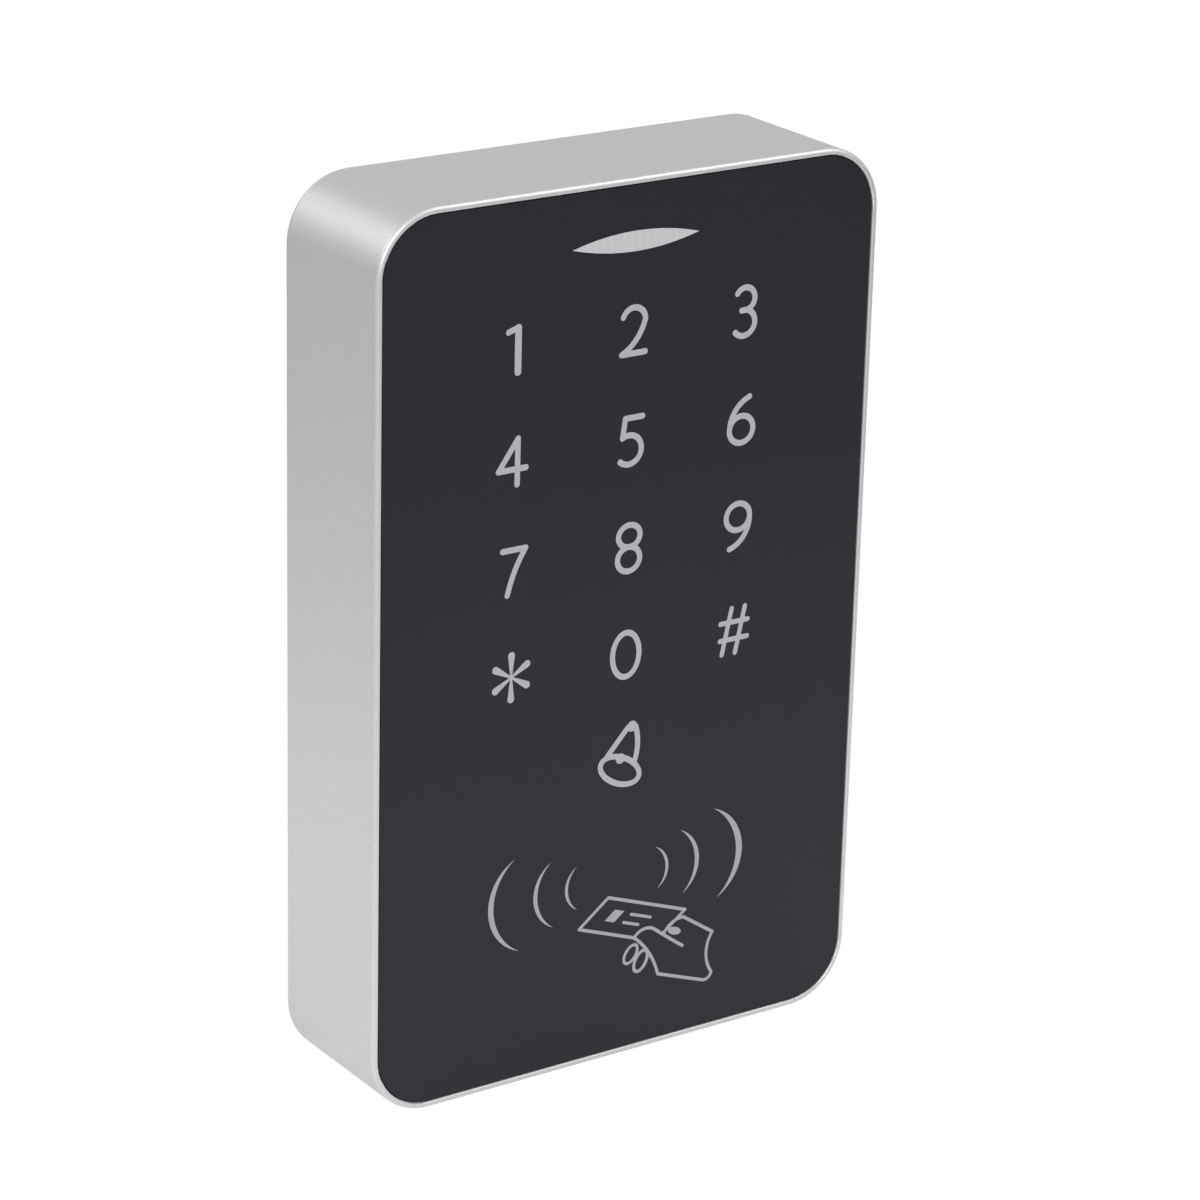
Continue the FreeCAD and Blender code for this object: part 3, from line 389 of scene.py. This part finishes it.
SLOT_MATERIALS = {
    "silver_paint": silver_paint,
    "black_film": black_film,
    "legend_white": legend_ink,
    "status_lens": status_lens,
    "clear_acrylic": lambda: clear_sheet("clear_acrylic", (0.85, 0.88, 0.88), 0.04),
    "light_sheet": lambda: clear_sheet("light_sheet", (0.92, 0.93, 0.93), 0.35),
    "tape_black": lambda: moulded("tape_black", (0.02, 0.02, 0.02), 0.8, 0.3, 0.0008, 0.00003),
    "board_green": circuit_board,
    "copper": lambda: metal("pad_copper", (0.80, 0.52, 0.30), 0.28),
    "winding": enamelled_wire,
    "light_body": lambda: moulded("light_body", (0.80, 0.77, 0.62), 0.35, 0.1),
    "chip_black": lambda: moulded("chip_black", (0.020, 0.020, 0.021), 0.48, 0.2, 0.00015, 0.000006),
    "tin": lambda: metal("tin", (0.78, 0.77, 0.74), 0.26),
    "steel": lambda: metal("steel", (0.66, 0.65, 0.63), 0.24),
    "iron": lambda: metal("soft_iron", (0.52, 0.51, 0.49), 0.36),
    "brass": lambda: metal("brass", (0.80, 0.60, 0.27), 0.26),
    "connector_white": lambda: moulded("nylon_natural", (0.80, 0.77, 0.66), 0.42, 0.07),
    "connector_black": lambda: moulded("nylon_black", (0.022, 0.022, 0.022), 0.45, 0.2),
    "relay_blue": lambda: moulded("relay_cover", (0.015, 0.055, 0.22), 0.32, 0.15),
    "can_aluminium": lambda: metal("can_aluminium", (0.82, 0.82, 0.83), 0.30),
    "ceramic_part": lambda: moulded("chip_ceramic", (0.46, 0.36, 0.24), 0.5, 0.5, 0.0012),
    "ferrite": lambda: moulded("ferrite", (0.055, 0.055, 0.058), 0.55, 0.3, 0.0002, 0.00001),
    "plate_black": wall_plastic,
    "rubber_black": rubber,
    "nylon": lambda: moulded("washer_nylon", (0.72, 0.70, 0.62), 0.5, 0.08),
    "button_red": lambda: moulded("plunger_red", (0.42, 0.03, 0.02), 0.38, 0.12),
}


def dress_cad_nodes():
    made = {}
    for part in frame["record"]["subparts"]:
        slot = part["material_slot"]
        if slot not in made:
            made[slot] = SLOT_MATERIALS[slot]()
        mesh = nodes[part["node"]].data
        mesh.materials.clear()
        mesh.materials.append(made[slot])
    thin_ink = legend_ink("thin_ink", 0.285)               # the fine lines are printed thinner
    for node in ("wave_legend", "card_legend"):
        nodes[node].data.materials[0] = thin_ink
    return made


# ---- mesh building blocks -----------------------------------------------------------
class Builder:
    """Collects points and faces, then makes one piece of them."""

    def __init__(self):
        self.points = []
        self.faces = []

    def ring_pair(self, near, far):
        """A closed band between two rings of points, with both ends closed."""
        start, n = len(self.points), len(near)
        self.points += list(near) + list(far)
        for i in range(n):
            j = (i + 1) % n
            self.faces.append((start + i, start + j, start + n + j, start + n + i))
        self.faces.append(tuple(start + i for i in reversed(range(n))))
        self.faces.append(tuple(start + n + i for i in range(n)))

    def slab(self, outline, y0, y1, inset=0.0):
        """A prism on an outline of (x, z) points; its y1 face is smaller by inset."""
        cx = sum(p[0] for p in outline) / len(outline)
        cz = sum(p[1] for p in outline) / len(outline)
        near = [Vector((x, y0, z)) for x, z in outline]
        far = []
        for x, z in outline:
            reach = math.hypot(x - cx, z - cz)
            keep = max(0.2, 1 - inset / reach)
            far.append(Vector((cx + (x - cx) * keep, y1, cz + (z - cz) * keep)))
        self.ring_pair(near, far)

    def hoop(self, rings):
        """A closed ring-shaped band through outlines of (x, z) points, each at its own depth."""
        start, n, count = len(self.points), len(rings[0][1]), len(rings)
        for level, ring in rings:
            self.points += [Vector((x, level, z)) for x, z in ring]
        for band in range(count):
            a, c = start + band * n, start + (band + 1) % count * n
            for k in range(n):
                m = (k + 1) % n
                self.faces.append((a + k, a + m, c + m, c + k))

    def tube(self, path, radius, sides=6, closed=False):
        """A round wire along a list of points."""
        count = len(path)
        start = len(self.points)
        for i, place in enumerate(path):
            before = path[i - 1] if i or closed else path[0]
            after = path[(i + 1) % count] if i < count - 1 or closed else path[-1]
            along = (after - before).normalized()
            flat = Vector((0, 1, 0)) if abs(along.y) < 0.9 else Vector((1, 0, 0))
            side = along.cross(flat).normalized()
            up = side.cross(along)
            for k in range(sides):
                turn = 2 * math.pi * k / sides
                self.points.append(place + (side * math.cos(turn) + up * math.sin(turn)) * radius)
        for i in range(count if closed else count - 1):
            a, b = start + i * sides, start + (i + 1) % count * sides
            for k in range(sides):
                m = (k + 1) % sides
                self.faces.append((a + k, a + m, b + m, b + k))
        if not closed:
            self.faces.append(tuple(start + k for k in reversed(range(sides))))
            self.faces.append(tuple(start + (count - 1) * sides + k for k in range(sides)))

    def piece(self, name, body, material, smooth=False, bevel=0.0):
        mesh = bpy.data.meshes.new(name)
        mesh.from_pydata([tuple(p) for p in self.points], [], self.faces)
        work = bmesh.new()
        work.from_mesh(mesh)
        bmesh.ops.recalc_face_normals(work, faces=work.faces)
        if bevel:
            sharp = [e for e in work.edges if e.calc_face_angle(0) > 0.6]
            bmesh.ops.bevel(work, geom=sharp, offset=bevel, segments=2, affect="EDGES",
                            clamp_overlap=True)
        for face in work.faces:
            face.smooth = smooth
        work.to_mesh(mesh)
        work.free()
        mesh.materials.append(material)
        made = bpy.data.objects.new(name, mesh)
        scene.collection.objects.link(made)
        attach(made, body)
        return made


def rectangle(x0, x1, z0, z1):
    return [(x0, z0), (x1, z0), (x1, z1), (x0, z1)]


def circle(x, z, radius, sides=24):
    turns = [2 * math.pi * k / sides for k in range(sides)]
    return [(x + radius * math.cos(t), z + radius * math.sin(t)) for t in turns]


def ribbon(path, width):
    """The outline of a flat line of even width, mitred at its corners."""
    left, right = [], []
    for i, (x, z) in enumerate(path):
        bx, bz = path[max(i - 1, 0)]
        ax, az = path[min(i + 1, len(path) - 1)]
        first = Vector((x - bx, z - bz)) if i else Vector((ax - x, az - z))
        second = Vector((ax - x, az - z)) if i < len(path) - 1 else first
        across = (first.normalized() + second.normalized()).normalized()
        stretch = width / 2 / max(across.dot(first.normalized()), 0.5)
        normal = Vector((-across.y, across.x)) * stretch
        left.append((x + normal.x, z + normal.y))
        right.append((x - normal.x, z - normal.y))
    return left, right


def lay_ribbon(builder, path, width, y0, y1):
    left, right = ribbon(path, width)
    for i in range(len(path) - 1):
        builder.slab([left[i], left[i + 1], right[i + 1], right[i]], y0, y1)


def islands(node):
    """The box of each separate solid of a CAD node, in metres."""
    mesh = nodes[node].data
    owner = {}
    parent = list(range(len(mesh.vertices)))

    def root(i):
        while parent[i] != i:
            parent[i] = parent[parent[i]]
            i = parent[i]
        return i

    for vertex in mesh.vertices:
        key = tuple(round(c * 1e7) for c in vertex.co)
        if key in owner:
            parent[root(vertex.index)] = root(owner[key])
        else:
            owner[key] = vertex.index
    for edge in mesh.edges:
        parent[root(edge.vertices[0])] = root(edge.vertices[1])
    boxes = {}
    for vertex in mesh.vertices:
        low, high = boxes.setdefault(root(vertex.index), ([9.0] * 3, [-9.0] * 3))
        for axis in range(3):
            low[axis] = min(low[axis], vertex.co[axis])
            high[axis] = max(high[axis], vertex.co[axis])
    found = [(Vector(low), Vector(high)) for low, high in boxes.values()]
    return sorted(found, key=lambda pair: (round(pair[0].x, 5), round(pair[0].z, 5), pair[0].y))


# ---- detail pieces ------------------------------------------------------------------
BOARD_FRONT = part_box("main_board")[0].y
BOARD_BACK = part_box("main_board")[1].y
TERMINAL_PITCH = 2.5 * MM
POWER_TRACK_W = 1.3 * MM
SIGNAL_TRACK_W = 0.4 * MM
FINE_TRACK_W = 0.3 * MM
TRACK_RISE = 0.04 * MM              # how far mask over copper stands above the bare board
SILK_RISE = 0.055 * MM              # silkscreen is printed over the tracks
SUNK = 0.01 * MM                    # how far a laid piece reaches into what it lies on
VIA_PAD_R = 0.55 * MM
VIA_RING_R = 0.34 * MM
VIA_HOLE_R = 0.16 * MM

# Tracks on the board's rear face, as (x, z) in mm in the part's frame.
POWER_TRACKS = (
    [(-24.5, 20.6), (-24.5, 12.4)],
    [(-24.0, 34.6), (-24.0, 27.6)],
    [(-20.8, 38.0), (-18.0, 40.8), (-18.0, 42.0)],
    [(-25.0, 7.6), (-25.0, 2.0), (-22.0, -1.0), (-22.0, -5.2)],
    [(-26.5, -35.8), (-26.5, -32.0), (-24.0, -29.5)],
    [(23.6, 12.0), (19.0, 12.0), (17.0, 14.0)],
    [(26.0, 23.6), (26.0, 26.0), (24.0, 28.2)],
    [(28.4, 12.0), (31.0, 14.6), (31.0, 30.0), (28.2, 32.8)],
)
SIGNAL_TRACKS = (
    [(-13.8, -22.0), (-9.0, -22.0), (-6.0, -19.0), (-6.0, -13.4)],
    [(20.8, -30.0), (13.0, -30.0), (8.6, -25.6), (8.6, -18.8)],
    [(20.8, -28.4), (14.0, -28.4), (11.2, -25.6), (11.2, -18.8)],
    [(2.4, -13.4), (2.4, -17.0), (6.0, -20.6), (6.0, -40.0)],
    [(20.8, -10.4), (14.0, -10.4), (11.0, -7.4), (11.0, -4.0)],
    [(-19.6, -8.2), (-19.6, -11.0), (-17.0, -13.6)],
    [(14.0, -0.4), (14.0, -6.0)],
    [(24.4, 2.2), (24.4, 7.0), (26.0, 8.6), (26.0, 10.4)],
    [(-10.6, 38.6), (-2.0, 38.6), (2.0, 34.6), (2.0, 26.0)],
    [(16.6, 40.0), (10.0, 40.0), (6.0, 44.0), (-9.0, 44.0)],
)


def on_rear_face(low, high):
    return abs(low.y - BOARD_BACK) < 0.1 * MM


def board_tracks(material):
    """Copper tracks and vias that stand a little proud under the solder mask."""
    b = Builder()
    y0, y1 = BOARD_BACK - SUNK, BOARD_BACK + TRACK_RISE
    low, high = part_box("terminal_header")
    ends = []
    for i in range(10):
        x = (i - 4.5) * TERMINAL_PITCH
        side = (4.5 - i) * 0.45 * MM
        turn = 5.5 * MM - abs(i - 4.5) * 0.7 * MM
        foot = (x + side, -2.0 * MM - (i % 3) * 2.2 * MM)
        path = [(x, low.z), (x, turn), (x + side, turn - abs(side)), foot]
        lay_ribbon(b, path, SIGNAL_TRACK_W, y0, y1)
        ends.append(foot)
        reach = 22.5 * MM + (i % 4) * 1.3 * MM
        if i in (4, 5):
            continue
        sideways = 2.0 * MM if i > 5 else -2.0 * MM
        top = (27.0 + i * 0.5) * MM if i > 5 else (34.0 - i * 1.5) * MM
        head = (x + sideways, reach + 2.0 * MM)
        lay_ribbon(b, [(x, high.z), (x, reach), head, (head[0], top)], SIGNAL_TRACK_W, y0, y1)
        ends.append((head[0], top))
    for path in POWER_TRACKS:
        lay_ribbon(b, [(x * MM, z * MM) for x, z in path], POWER_TRACK_W, y0, y1)
    for path in SIGNAL_TRACKS:
        path = [(x * MM, z * MM) for x, z in path]
        lay_ribbon(b, path, SIGNAL_TRACK_W, y0, y1)
        ends.append(path[-1])
    for x, z in ends:
        b.slab(circle(x, z, VIA_PAD_R, 16), y0, y1 + SUNK, 0.05 * MM)
    b.piece("board_tracks", "front_unit", material)
    return ends


def front_tracks(material):
    """Tracks from the processor on the board's front face to the parts round it."""
    b = Builder()
    y0, y1 = BOARD_FRONT + SUNK, BOARD_FRONT - TRACK_RISE
    ends = []
    low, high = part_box("processor")
    cx, cz = (low.x + high.x) / 2, (low.z + high.z) / 2
    for i in range(8):
        step = (i - 3.5) * 0.8 * MM
        fan = (i - 3.5) * 1.25 * MM
        below = cz - 4.6 * MM - abs(step) * 0.3
        drop = fan - step
        foot = (cx + fan, below - abs(drop) - 3.0 * MM - (i % 3) * 1.6 * MM)
        lane = cx + 8.0 * MM + i * 1.1 * MM
        paths = (
            [(cx + step, cz - 4.2 * MM), (cx + step, below), (cx + fan, below - abs(drop)), foot],
            [(cx + 4.2 * MM, cz + step), (lane - 1.0 * MM, cz + step), (lane, cz + step - 1.0 * MM),
             (lane, -12.2 * MM)],
        )
        for path in paths:
            lay_ribbon(b, path, FINE_TRACK_W, y0, y1)
        ends.append(foot)
    for i in range(6):
        x = (-20 + 3 * i) * MM
        knee = 33.5 * MM - i * 0.8 * MM
        foot = (x + 1.5 * MM, knee - 1.5 * MM)
        lay_ribbon(b, [(x, 36.6 * MM), (x, knee), foot], SIGNAL_TRACK_W, y0, y1)
        ends.append(foot)
        lay_ribbon(b, [(x, 39.4 * MM), (x, 42.5 * MM)], 0.7 * MM, y0, y1)
    supply = [(-21.0, 42.5), (24.0, 42.5), (28.0, 38.5), (28.0, -8.0)]
    lay_ribbon(b, [(x * MM, z * MM) for x, z in supply], 1.2 * MM, y0, y1)
    for side in (-1, 1):
        pad = (side * 3.2 * MM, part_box("antenna_coil")[1].z - 8.3 * MM)
        pin = side * 2.2 * MM
        lay_ribbon(b, [pad, (pad[0], -29.0 * MM), (pin, -30.0 * MM), (pin, -31.6 * MM)], 0.5 * MM, y0, y1)
        start = (-11 * MM + side * 1.6 * MM, 26 * MM)
        bend = (-5.0 * MM + side * 0.6 * MM, 15.4 * MM)
        path = [start, (start[0], 22.0 * MM), bend, (-2.4 * MM, 15.4 * MM)]
        lay_ribbon(b, path, FINE_TRACK_W, y0, y1)
    for x, z in ends:
        b.slab(circle(x, z, VIA_PAD_R, 16), y0, y1 - SUNK, 0.05 * MM)
    b.piece("front_tracks", "front_unit", material)
    return ends


def plated_holes(ends, face, out, name, material):
    """The tinned ring in each via on one face of the board."""
    b = Builder()
    low, high = face + out * 0.03 * MM, face + out * 0.065 * MM
    for x, z in ends:
        outer, inner = circle(x, z, VIA_RING_R, 16), circle(x, z, VIA_HOLE_R, 16)
        b.hoop([(low, outer), (high, outer), (high, inner), (low, inner)])
    b.piece(name, "front_unit", material)


def silkscreen(material):
    """White outlines printed round the parts on the board's rear face."""
    b = Builder()
    y0, y1 = BOARD_BACK - SUNK, BOARD_BACK + SILK_RISE
    gap, width = 0.45 * MM, 0.16 * MM
    outlined = ("relay_base", "capacitor_bases", "power_inductor", "regulator", "diodes",
                "terminal_header", "tamper_switch", "reset_switch")
    for node in outlined:
        for low, high in islands(node):
            x0, x1, z0, z1 = low.x - gap, high.x + gap, low.z - gap, high.z + gap
            sides = (((x0, z0), (x1, z0)), ((x1, z0), (x1, z1)), ((x1, z1), (x0, z1)), ((x0, z1), (x0, z0)))
            for a, c in sides:
                lay_ribbon(b, [a, c], width, y0, y1)
            b.slab(circle(x0 - 0.5 * MM, z1 - 0.4 * MM, 0.25 * MM, 12), y0, y1)
    low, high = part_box("buzzer_case")
    middle, radius = (low + high) / 2, (high.x - low.x) / 2 + gap
    ring = circle(middle.x, middle.z, radius, 48)
    for a, c in zip(ring, ring[1:] + ring[:1]):
        lay_ribbon(b, [a, c], width, y0, y1)
    plus_z = low.z - 1.4 * MM
    lay_ribbon(b, [(middle.x - 1 * MM, plus_z), (middle.x + 1 * MM, plus_z)], width, y0, y1)
    lay_ribbon(b, [(middle.x, low.z - 2.4 * MM), (middle.x, low.z - 0.8 * MM)], width, y0, y1)
    b.piece("silkscreen", "front_unit", material)


def solder_pads(material):
    """A low bead of solder under every chip leg and at both ends of every small part."""
    b = Builder()
    for low, high in islands("chip_legs"):
        board = min((BOARD_FRONT, BOARD_BACK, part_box("touch_board")[1].y),
                    key=lambda face: min(abs(low.y - face), abs(high.y - face)))
        out = 1 if abs(low.y - board) < abs(high.y - board) else -1
        outline = rectangle(low.x - 0.12 * MM, high.x + 0.12 * MM, low.z - 0.12 * MM, high.z + 0.12 * MM)
        b.slab(outline, board - out * SUNK, board + out * 0.09 * MM, 0.1 * MM)
    for low, high in islands("chip_parts"):
        rear = on_rear_face(low, high)
        board, out = (BOARD_BACK, 1) if rear else (BOARD_FRONT, -1)
        for z0, z1 in ((low.z - 0.35 * MM, low.z + 0.2 * MM), (high.z - 0.2 * MM, high.z + 0.35 * MM)):
            outline = rectangle(low.x - 0.1 * MM, high.x + 0.1 * MM, z0, z1)
            b.slab(outline, board - out * SUNK, board + out * 0.3 * MM, 0.28 * MM)
    b.piece("solder_pads", "front_unit", material, smooth=False, bevel=0.03 * MM)


def part_ends(material):
    """Tinned end caps on the small resistors and capacitors."""
    b = Builder()
    proud = 0.02 * MM
    for low, high in islands("chip_parts"):
        y0, y1 = low.y - proud, high.y + proud
        for z0, z1 in ((low.z - proud, low.z + 0.36 * MM), (high.z - 0.36 * MM, high.z + proud)):
            b.slab(rectangle(low.x - proud, high.x + proud, z0, z1), y0, y1)
    b.piece("part_ends", "front_unit", material, bevel=0.05 * MM)


def capacitor_marks(material):
    """The dark segment on each can's top that marks its negative side."""
    b = Builder()
    for low, high in islands("capacitors"):
        x, z = (low.x + high.x) / 2, (low.z + high.z) / 2
        r = (high.x - low.x) / 2 - 0.45 * MM
        turns = [math.radians(120 + 120 * k / 16) for k in range(17)]
        outline = [(x + r * math.cos(t), z + r * math.sin(t)) for t in turns]
        b.slab(outline, high.y - SUNK, high.y + 0.015 * MM)
    b.piece("capacitor_marks", "front_unit", material)


def diode_marks(material):
    """The pale band at each diode's cathode end."""
    b = Builder()
    for low, high in islands("diodes"):
        outline = rectangle(low.x + 0.35 * MM, low.x + 0.85 * MM, low.z + 0.3 * MM, high.z - 0.3 * MM)
        b.slab(outline, high.y - SUNK, high.y + 0.015 * MM)
    b.piece("diode_marks", "front_unit", material)


def chip_dots(material):
    """The moulded dot beside pin one of each chip, as a shallow rounded dimple rim."""
    b = Builder()
    for node, facing in (("processor", -1), ("reader_chip", -1), ("touch_chip", 1)):
        low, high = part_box(node)
        top = high.y if facing > 0 else low.y
        x, z, r = low.x + 0.95 * MM, high.z - 0.95 * MM, 0.42 * MM
        outer, inner = circle(x, z, r, 20), circle(x, z, r * 0.7, 20)
        levels = ((-0.01, outer), (0.03, outer), (0.03, inner), (-0.01, inner))
        b.hoop([(top + facing * level * MM, ring) for level, ring in levels])
    b.piece("chip_dots", "front_unit", material)


def loop(cx, cz, half_w, half_h, radius, y, steps=7):
    """A closed rounded rectangle of points at depth y."""
    points = []
    corners = ((1, 1, 0), (-1, 1, 90), (-1, -1, 180), (1, -1, 270))
    for sx, sz, begin in corners:
        ox, oz = cx + sx * (half_w - radius), cz + sz * (half_h - radius)
        for k in range(steps):
            turn = math.radians(begin + 90 * k / (steps - 1))
            points.append(Vector((ox + radius * math.cos(turn), y, oz + radius * math.sin(turn))))
    return points


def antenna_wires(material):
    """The antenna as it is wound: loops of enamelled wire side by side, and two leads to the board."""
    low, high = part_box("antenna_coil")
    cx, cz = (low.x + high.x) / 2, (low.z + high.z) / 2
    half_w, half_h = (high.x - low.x) / 2, (high.z - low.z) / 2
    wire, band, corner, inset = 0.3 * MM, 4.0 * MM, 7.0 * MM, 0.1 * MM
    rows = int((band - 2 * inset) / wire)
    layers = int((high.y - low.y - 2 * inset) / wire)
    chance = random.Random(7)
    b = Builder()
    for row in range(rows):
        for layer in range(layers):
            if 0 < row < rows - 1 and 0 < layer < layers - 1:
                continue
            if (row in (0, rows - 1)) and (layer in (0, layers - 1)):
                continue
            inward = inset + (row + 0.5) * wire + chance.uniform(-0.03, 0.03) * MM
            y = low.y + inset + (layer + 0.5) * wire + chance.uniform(-0.03, 0.03) * MM
            radius = corner - inward * 0.8
            b.tube(loop(cx, cz, half_w - inward, half_h - inward, radius, y), wire * 0.52, 6, True)
    inner = high.z - band
    for side in (-1, 1):
        start = Vector((side * 4.5 * MM, (low.y + high.y) / 2, inner + 0.3 * MM))
        knee = Vector((side * 4.0 * MM, (low.y + high.y) / 2 + 0.2 * MM, inner - 1.6 * MM))
        foot = Vector((side * 3.2 * MM, BOARD_FRONT - 0.16 * MM, inner - 3.4 * MM))
        path = []
        for k in range(11):
            t = k / 10
            path.append(start * (1 - t) ** 2 + knee * 2 * t * (1 - t) + foot * t ** 2)
        path.append(foot + Vector((0, 0, -0.9 * MM)))
        b.tube(path, wire * 0.5)
    made = b.piece("antenna_wires", "front_unit", material, smooth=True)
    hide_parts("antenna_coil")


def antenna_ties(material):
    """Four turns of tape that hold the winding together."""
    low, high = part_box("antenna_coil")
    cx, cz = (low.x + high.x) / 2, (low.z + high.z) / 2
    half_w, half_h, band = (high.x - low.x) / 2, (high.z - low.z) / 2, 4.0 * MM
    b = Builder()
    y = (low.y + high.y) / 2
    deep, wide, tape = (high.y - low.y) / 2, band / 2, 0.08 * MM
    places = ((cx - half_w + wide, cz, True), (cx + half_w - wide, cz, True),
              (cx - 10 * MM, cz + half_h - wide, False), (cx + 10 * MM, cz - half_h + wide, False))
    for px, pz, upright in places:
        rings = []
        for reach in (-2.6 * MM, 2.6 * MM):
            for grow in (0.0, -tape):
                ring = []
                for k in range(24):
                    turn = 2 * math.pi * k / 24
                    c, s = math.cos(turn), math.sin(turn)
                    across = math.copysign(abs(c) ** 0.35, c) * (wide + grow)
                    depth = math.copysign(abs(s) ** 0.35, s) * (deep + grow)
                    if upright:
                        ring.append(Vector((px + across, y + depth, pz + reach)))
                    else:
                        ring.append(Vector((px + reach, y + depth, pz + across)))
                rings.append(ring)
        outer_a, inner_a, outer_b, inner_b = rings
        start = len(b.points)
        for ring in (outer_a, outer_b, inner_b, inner_a):
            b.points += ring
        for step in range(4):
            one, two = start + step * 24, start + (step + 1) % 4 * 24
            for k in range(24):
                m = (k + 1) % 24
                b.faces.append((one + k, one + m, two + m, two + k))
    b.piece("antenna_ties", "front_unit", material, smooth=True)


def relay_turns(material):
    """The relay's coil, wound as one helix between the bobbin's flanges."""
    low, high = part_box("relay_winding")
    cx, cy = (low.x + high.x) / 2, (low.y + high.y) / 2
    wire = 0.22 * MM
    radius = (high.x - low.x) / 2 - wire / 2
    turns = int((high.z - low.z) / (wire * 1.04))
    steps = 18
    path = []
    for k in range(turns * steps + 1):
        turn = 2 * math.pi * k / steps
        z = low.z + wire / 2 + (high.z - low.z - wire) * k / (turns * steps)
        path.append(Vector((cx + radius * math.cos(turn), cy + radius * math.sin(turn), z)))
    b = Builder()
    b.tube(path, wire / 2, 5)
    core = radius - wire * 0.3
    ring = circle(cx, cy, core, 24)
    b.ring_pair([Vector((x, y, low.z + 0.02 * MM)) for x, y in ring],
                [Vector((x, y, high.z - 0.02 * MM)) for x, y in ring])
    made = b.piece("relay_turns", "front_unit", material, smooth=True)
    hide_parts("relay_winding")


def plate_ribs(material):
    """Low drafted ribs and ejector marks in the wall plate's rear pockets."""
    b = Builder()
    floor, top = -0.8 * MM, -0.12 * MM
    for side in (-1, 1):
        cx = side * 20.5 * MM
        for z0, z1 in ((-53.5, -3.0), (3.0, 52.5)):
            count = 6
            for k in range(1, count):
                z = (z0 + (z1 - z0) * k / count) * MM
                outline = rectangle(cx - 11.05 * MM, cx + 11.05 * MM, z - 0.6 * MM, z + 0.6 * MM)
                near = [Vector((x, floor - 0.02 * MM, zz)) for x, zz in outline]
                far = [Vector((x, top, z + (zz - z) * 0.6)) for x, zz in outline]
                b.ring_pair(near, far)
            for x, k in ((cx - 6.5 * MM, 0.5), (cx + 6.5 * MM, count - 0.5)):
                z = (z0 + (z1 - z0) * k / count) * MM
                outer, inner = circle(x, z, 2.5 * MM, 32), circle(x, z, 2.3 * MM, 32)
                levels = ((-0.02, outer), (0.08, outer), (0.08, inner), (-0.02, inner))
                b.hoop([(floor + level * MM, ring) for level, ring in levels])
    b.piece("plate_ribs", "wall_plate", material)


def add_details(materials):
    mask = track_mask()
    plated_holes(board_tracks(mask), BOARD_BACK, 1, "plated_holes", materials["tin"])
    plated_holes(front_tracks(mask), BOARD_FRONT, -1, "front_plated_holes", materials["tin"])
    ink = board_ink()
    silkscreen(ink)
    solder_pads(materials["tin"])
    part_ends(materials["tin"])
    capacitor_marks(materials["chip_black"])
    diode_marks(ink)
    chip_dots(materials["chip_black"])
    antenna_wires(materials["winding"])
    antenna_ties(materials["tape_black"])
    relay_turns(materials["winding"])
    plate_ribs(materials["plate_black"])


# ---- build --------------------------------------------------------------------------
scene.view_settings.view_transform = "Standard"
add_camera()
add_world()
add_lights()
add_floor()
add_details(dress_cad_nodes())
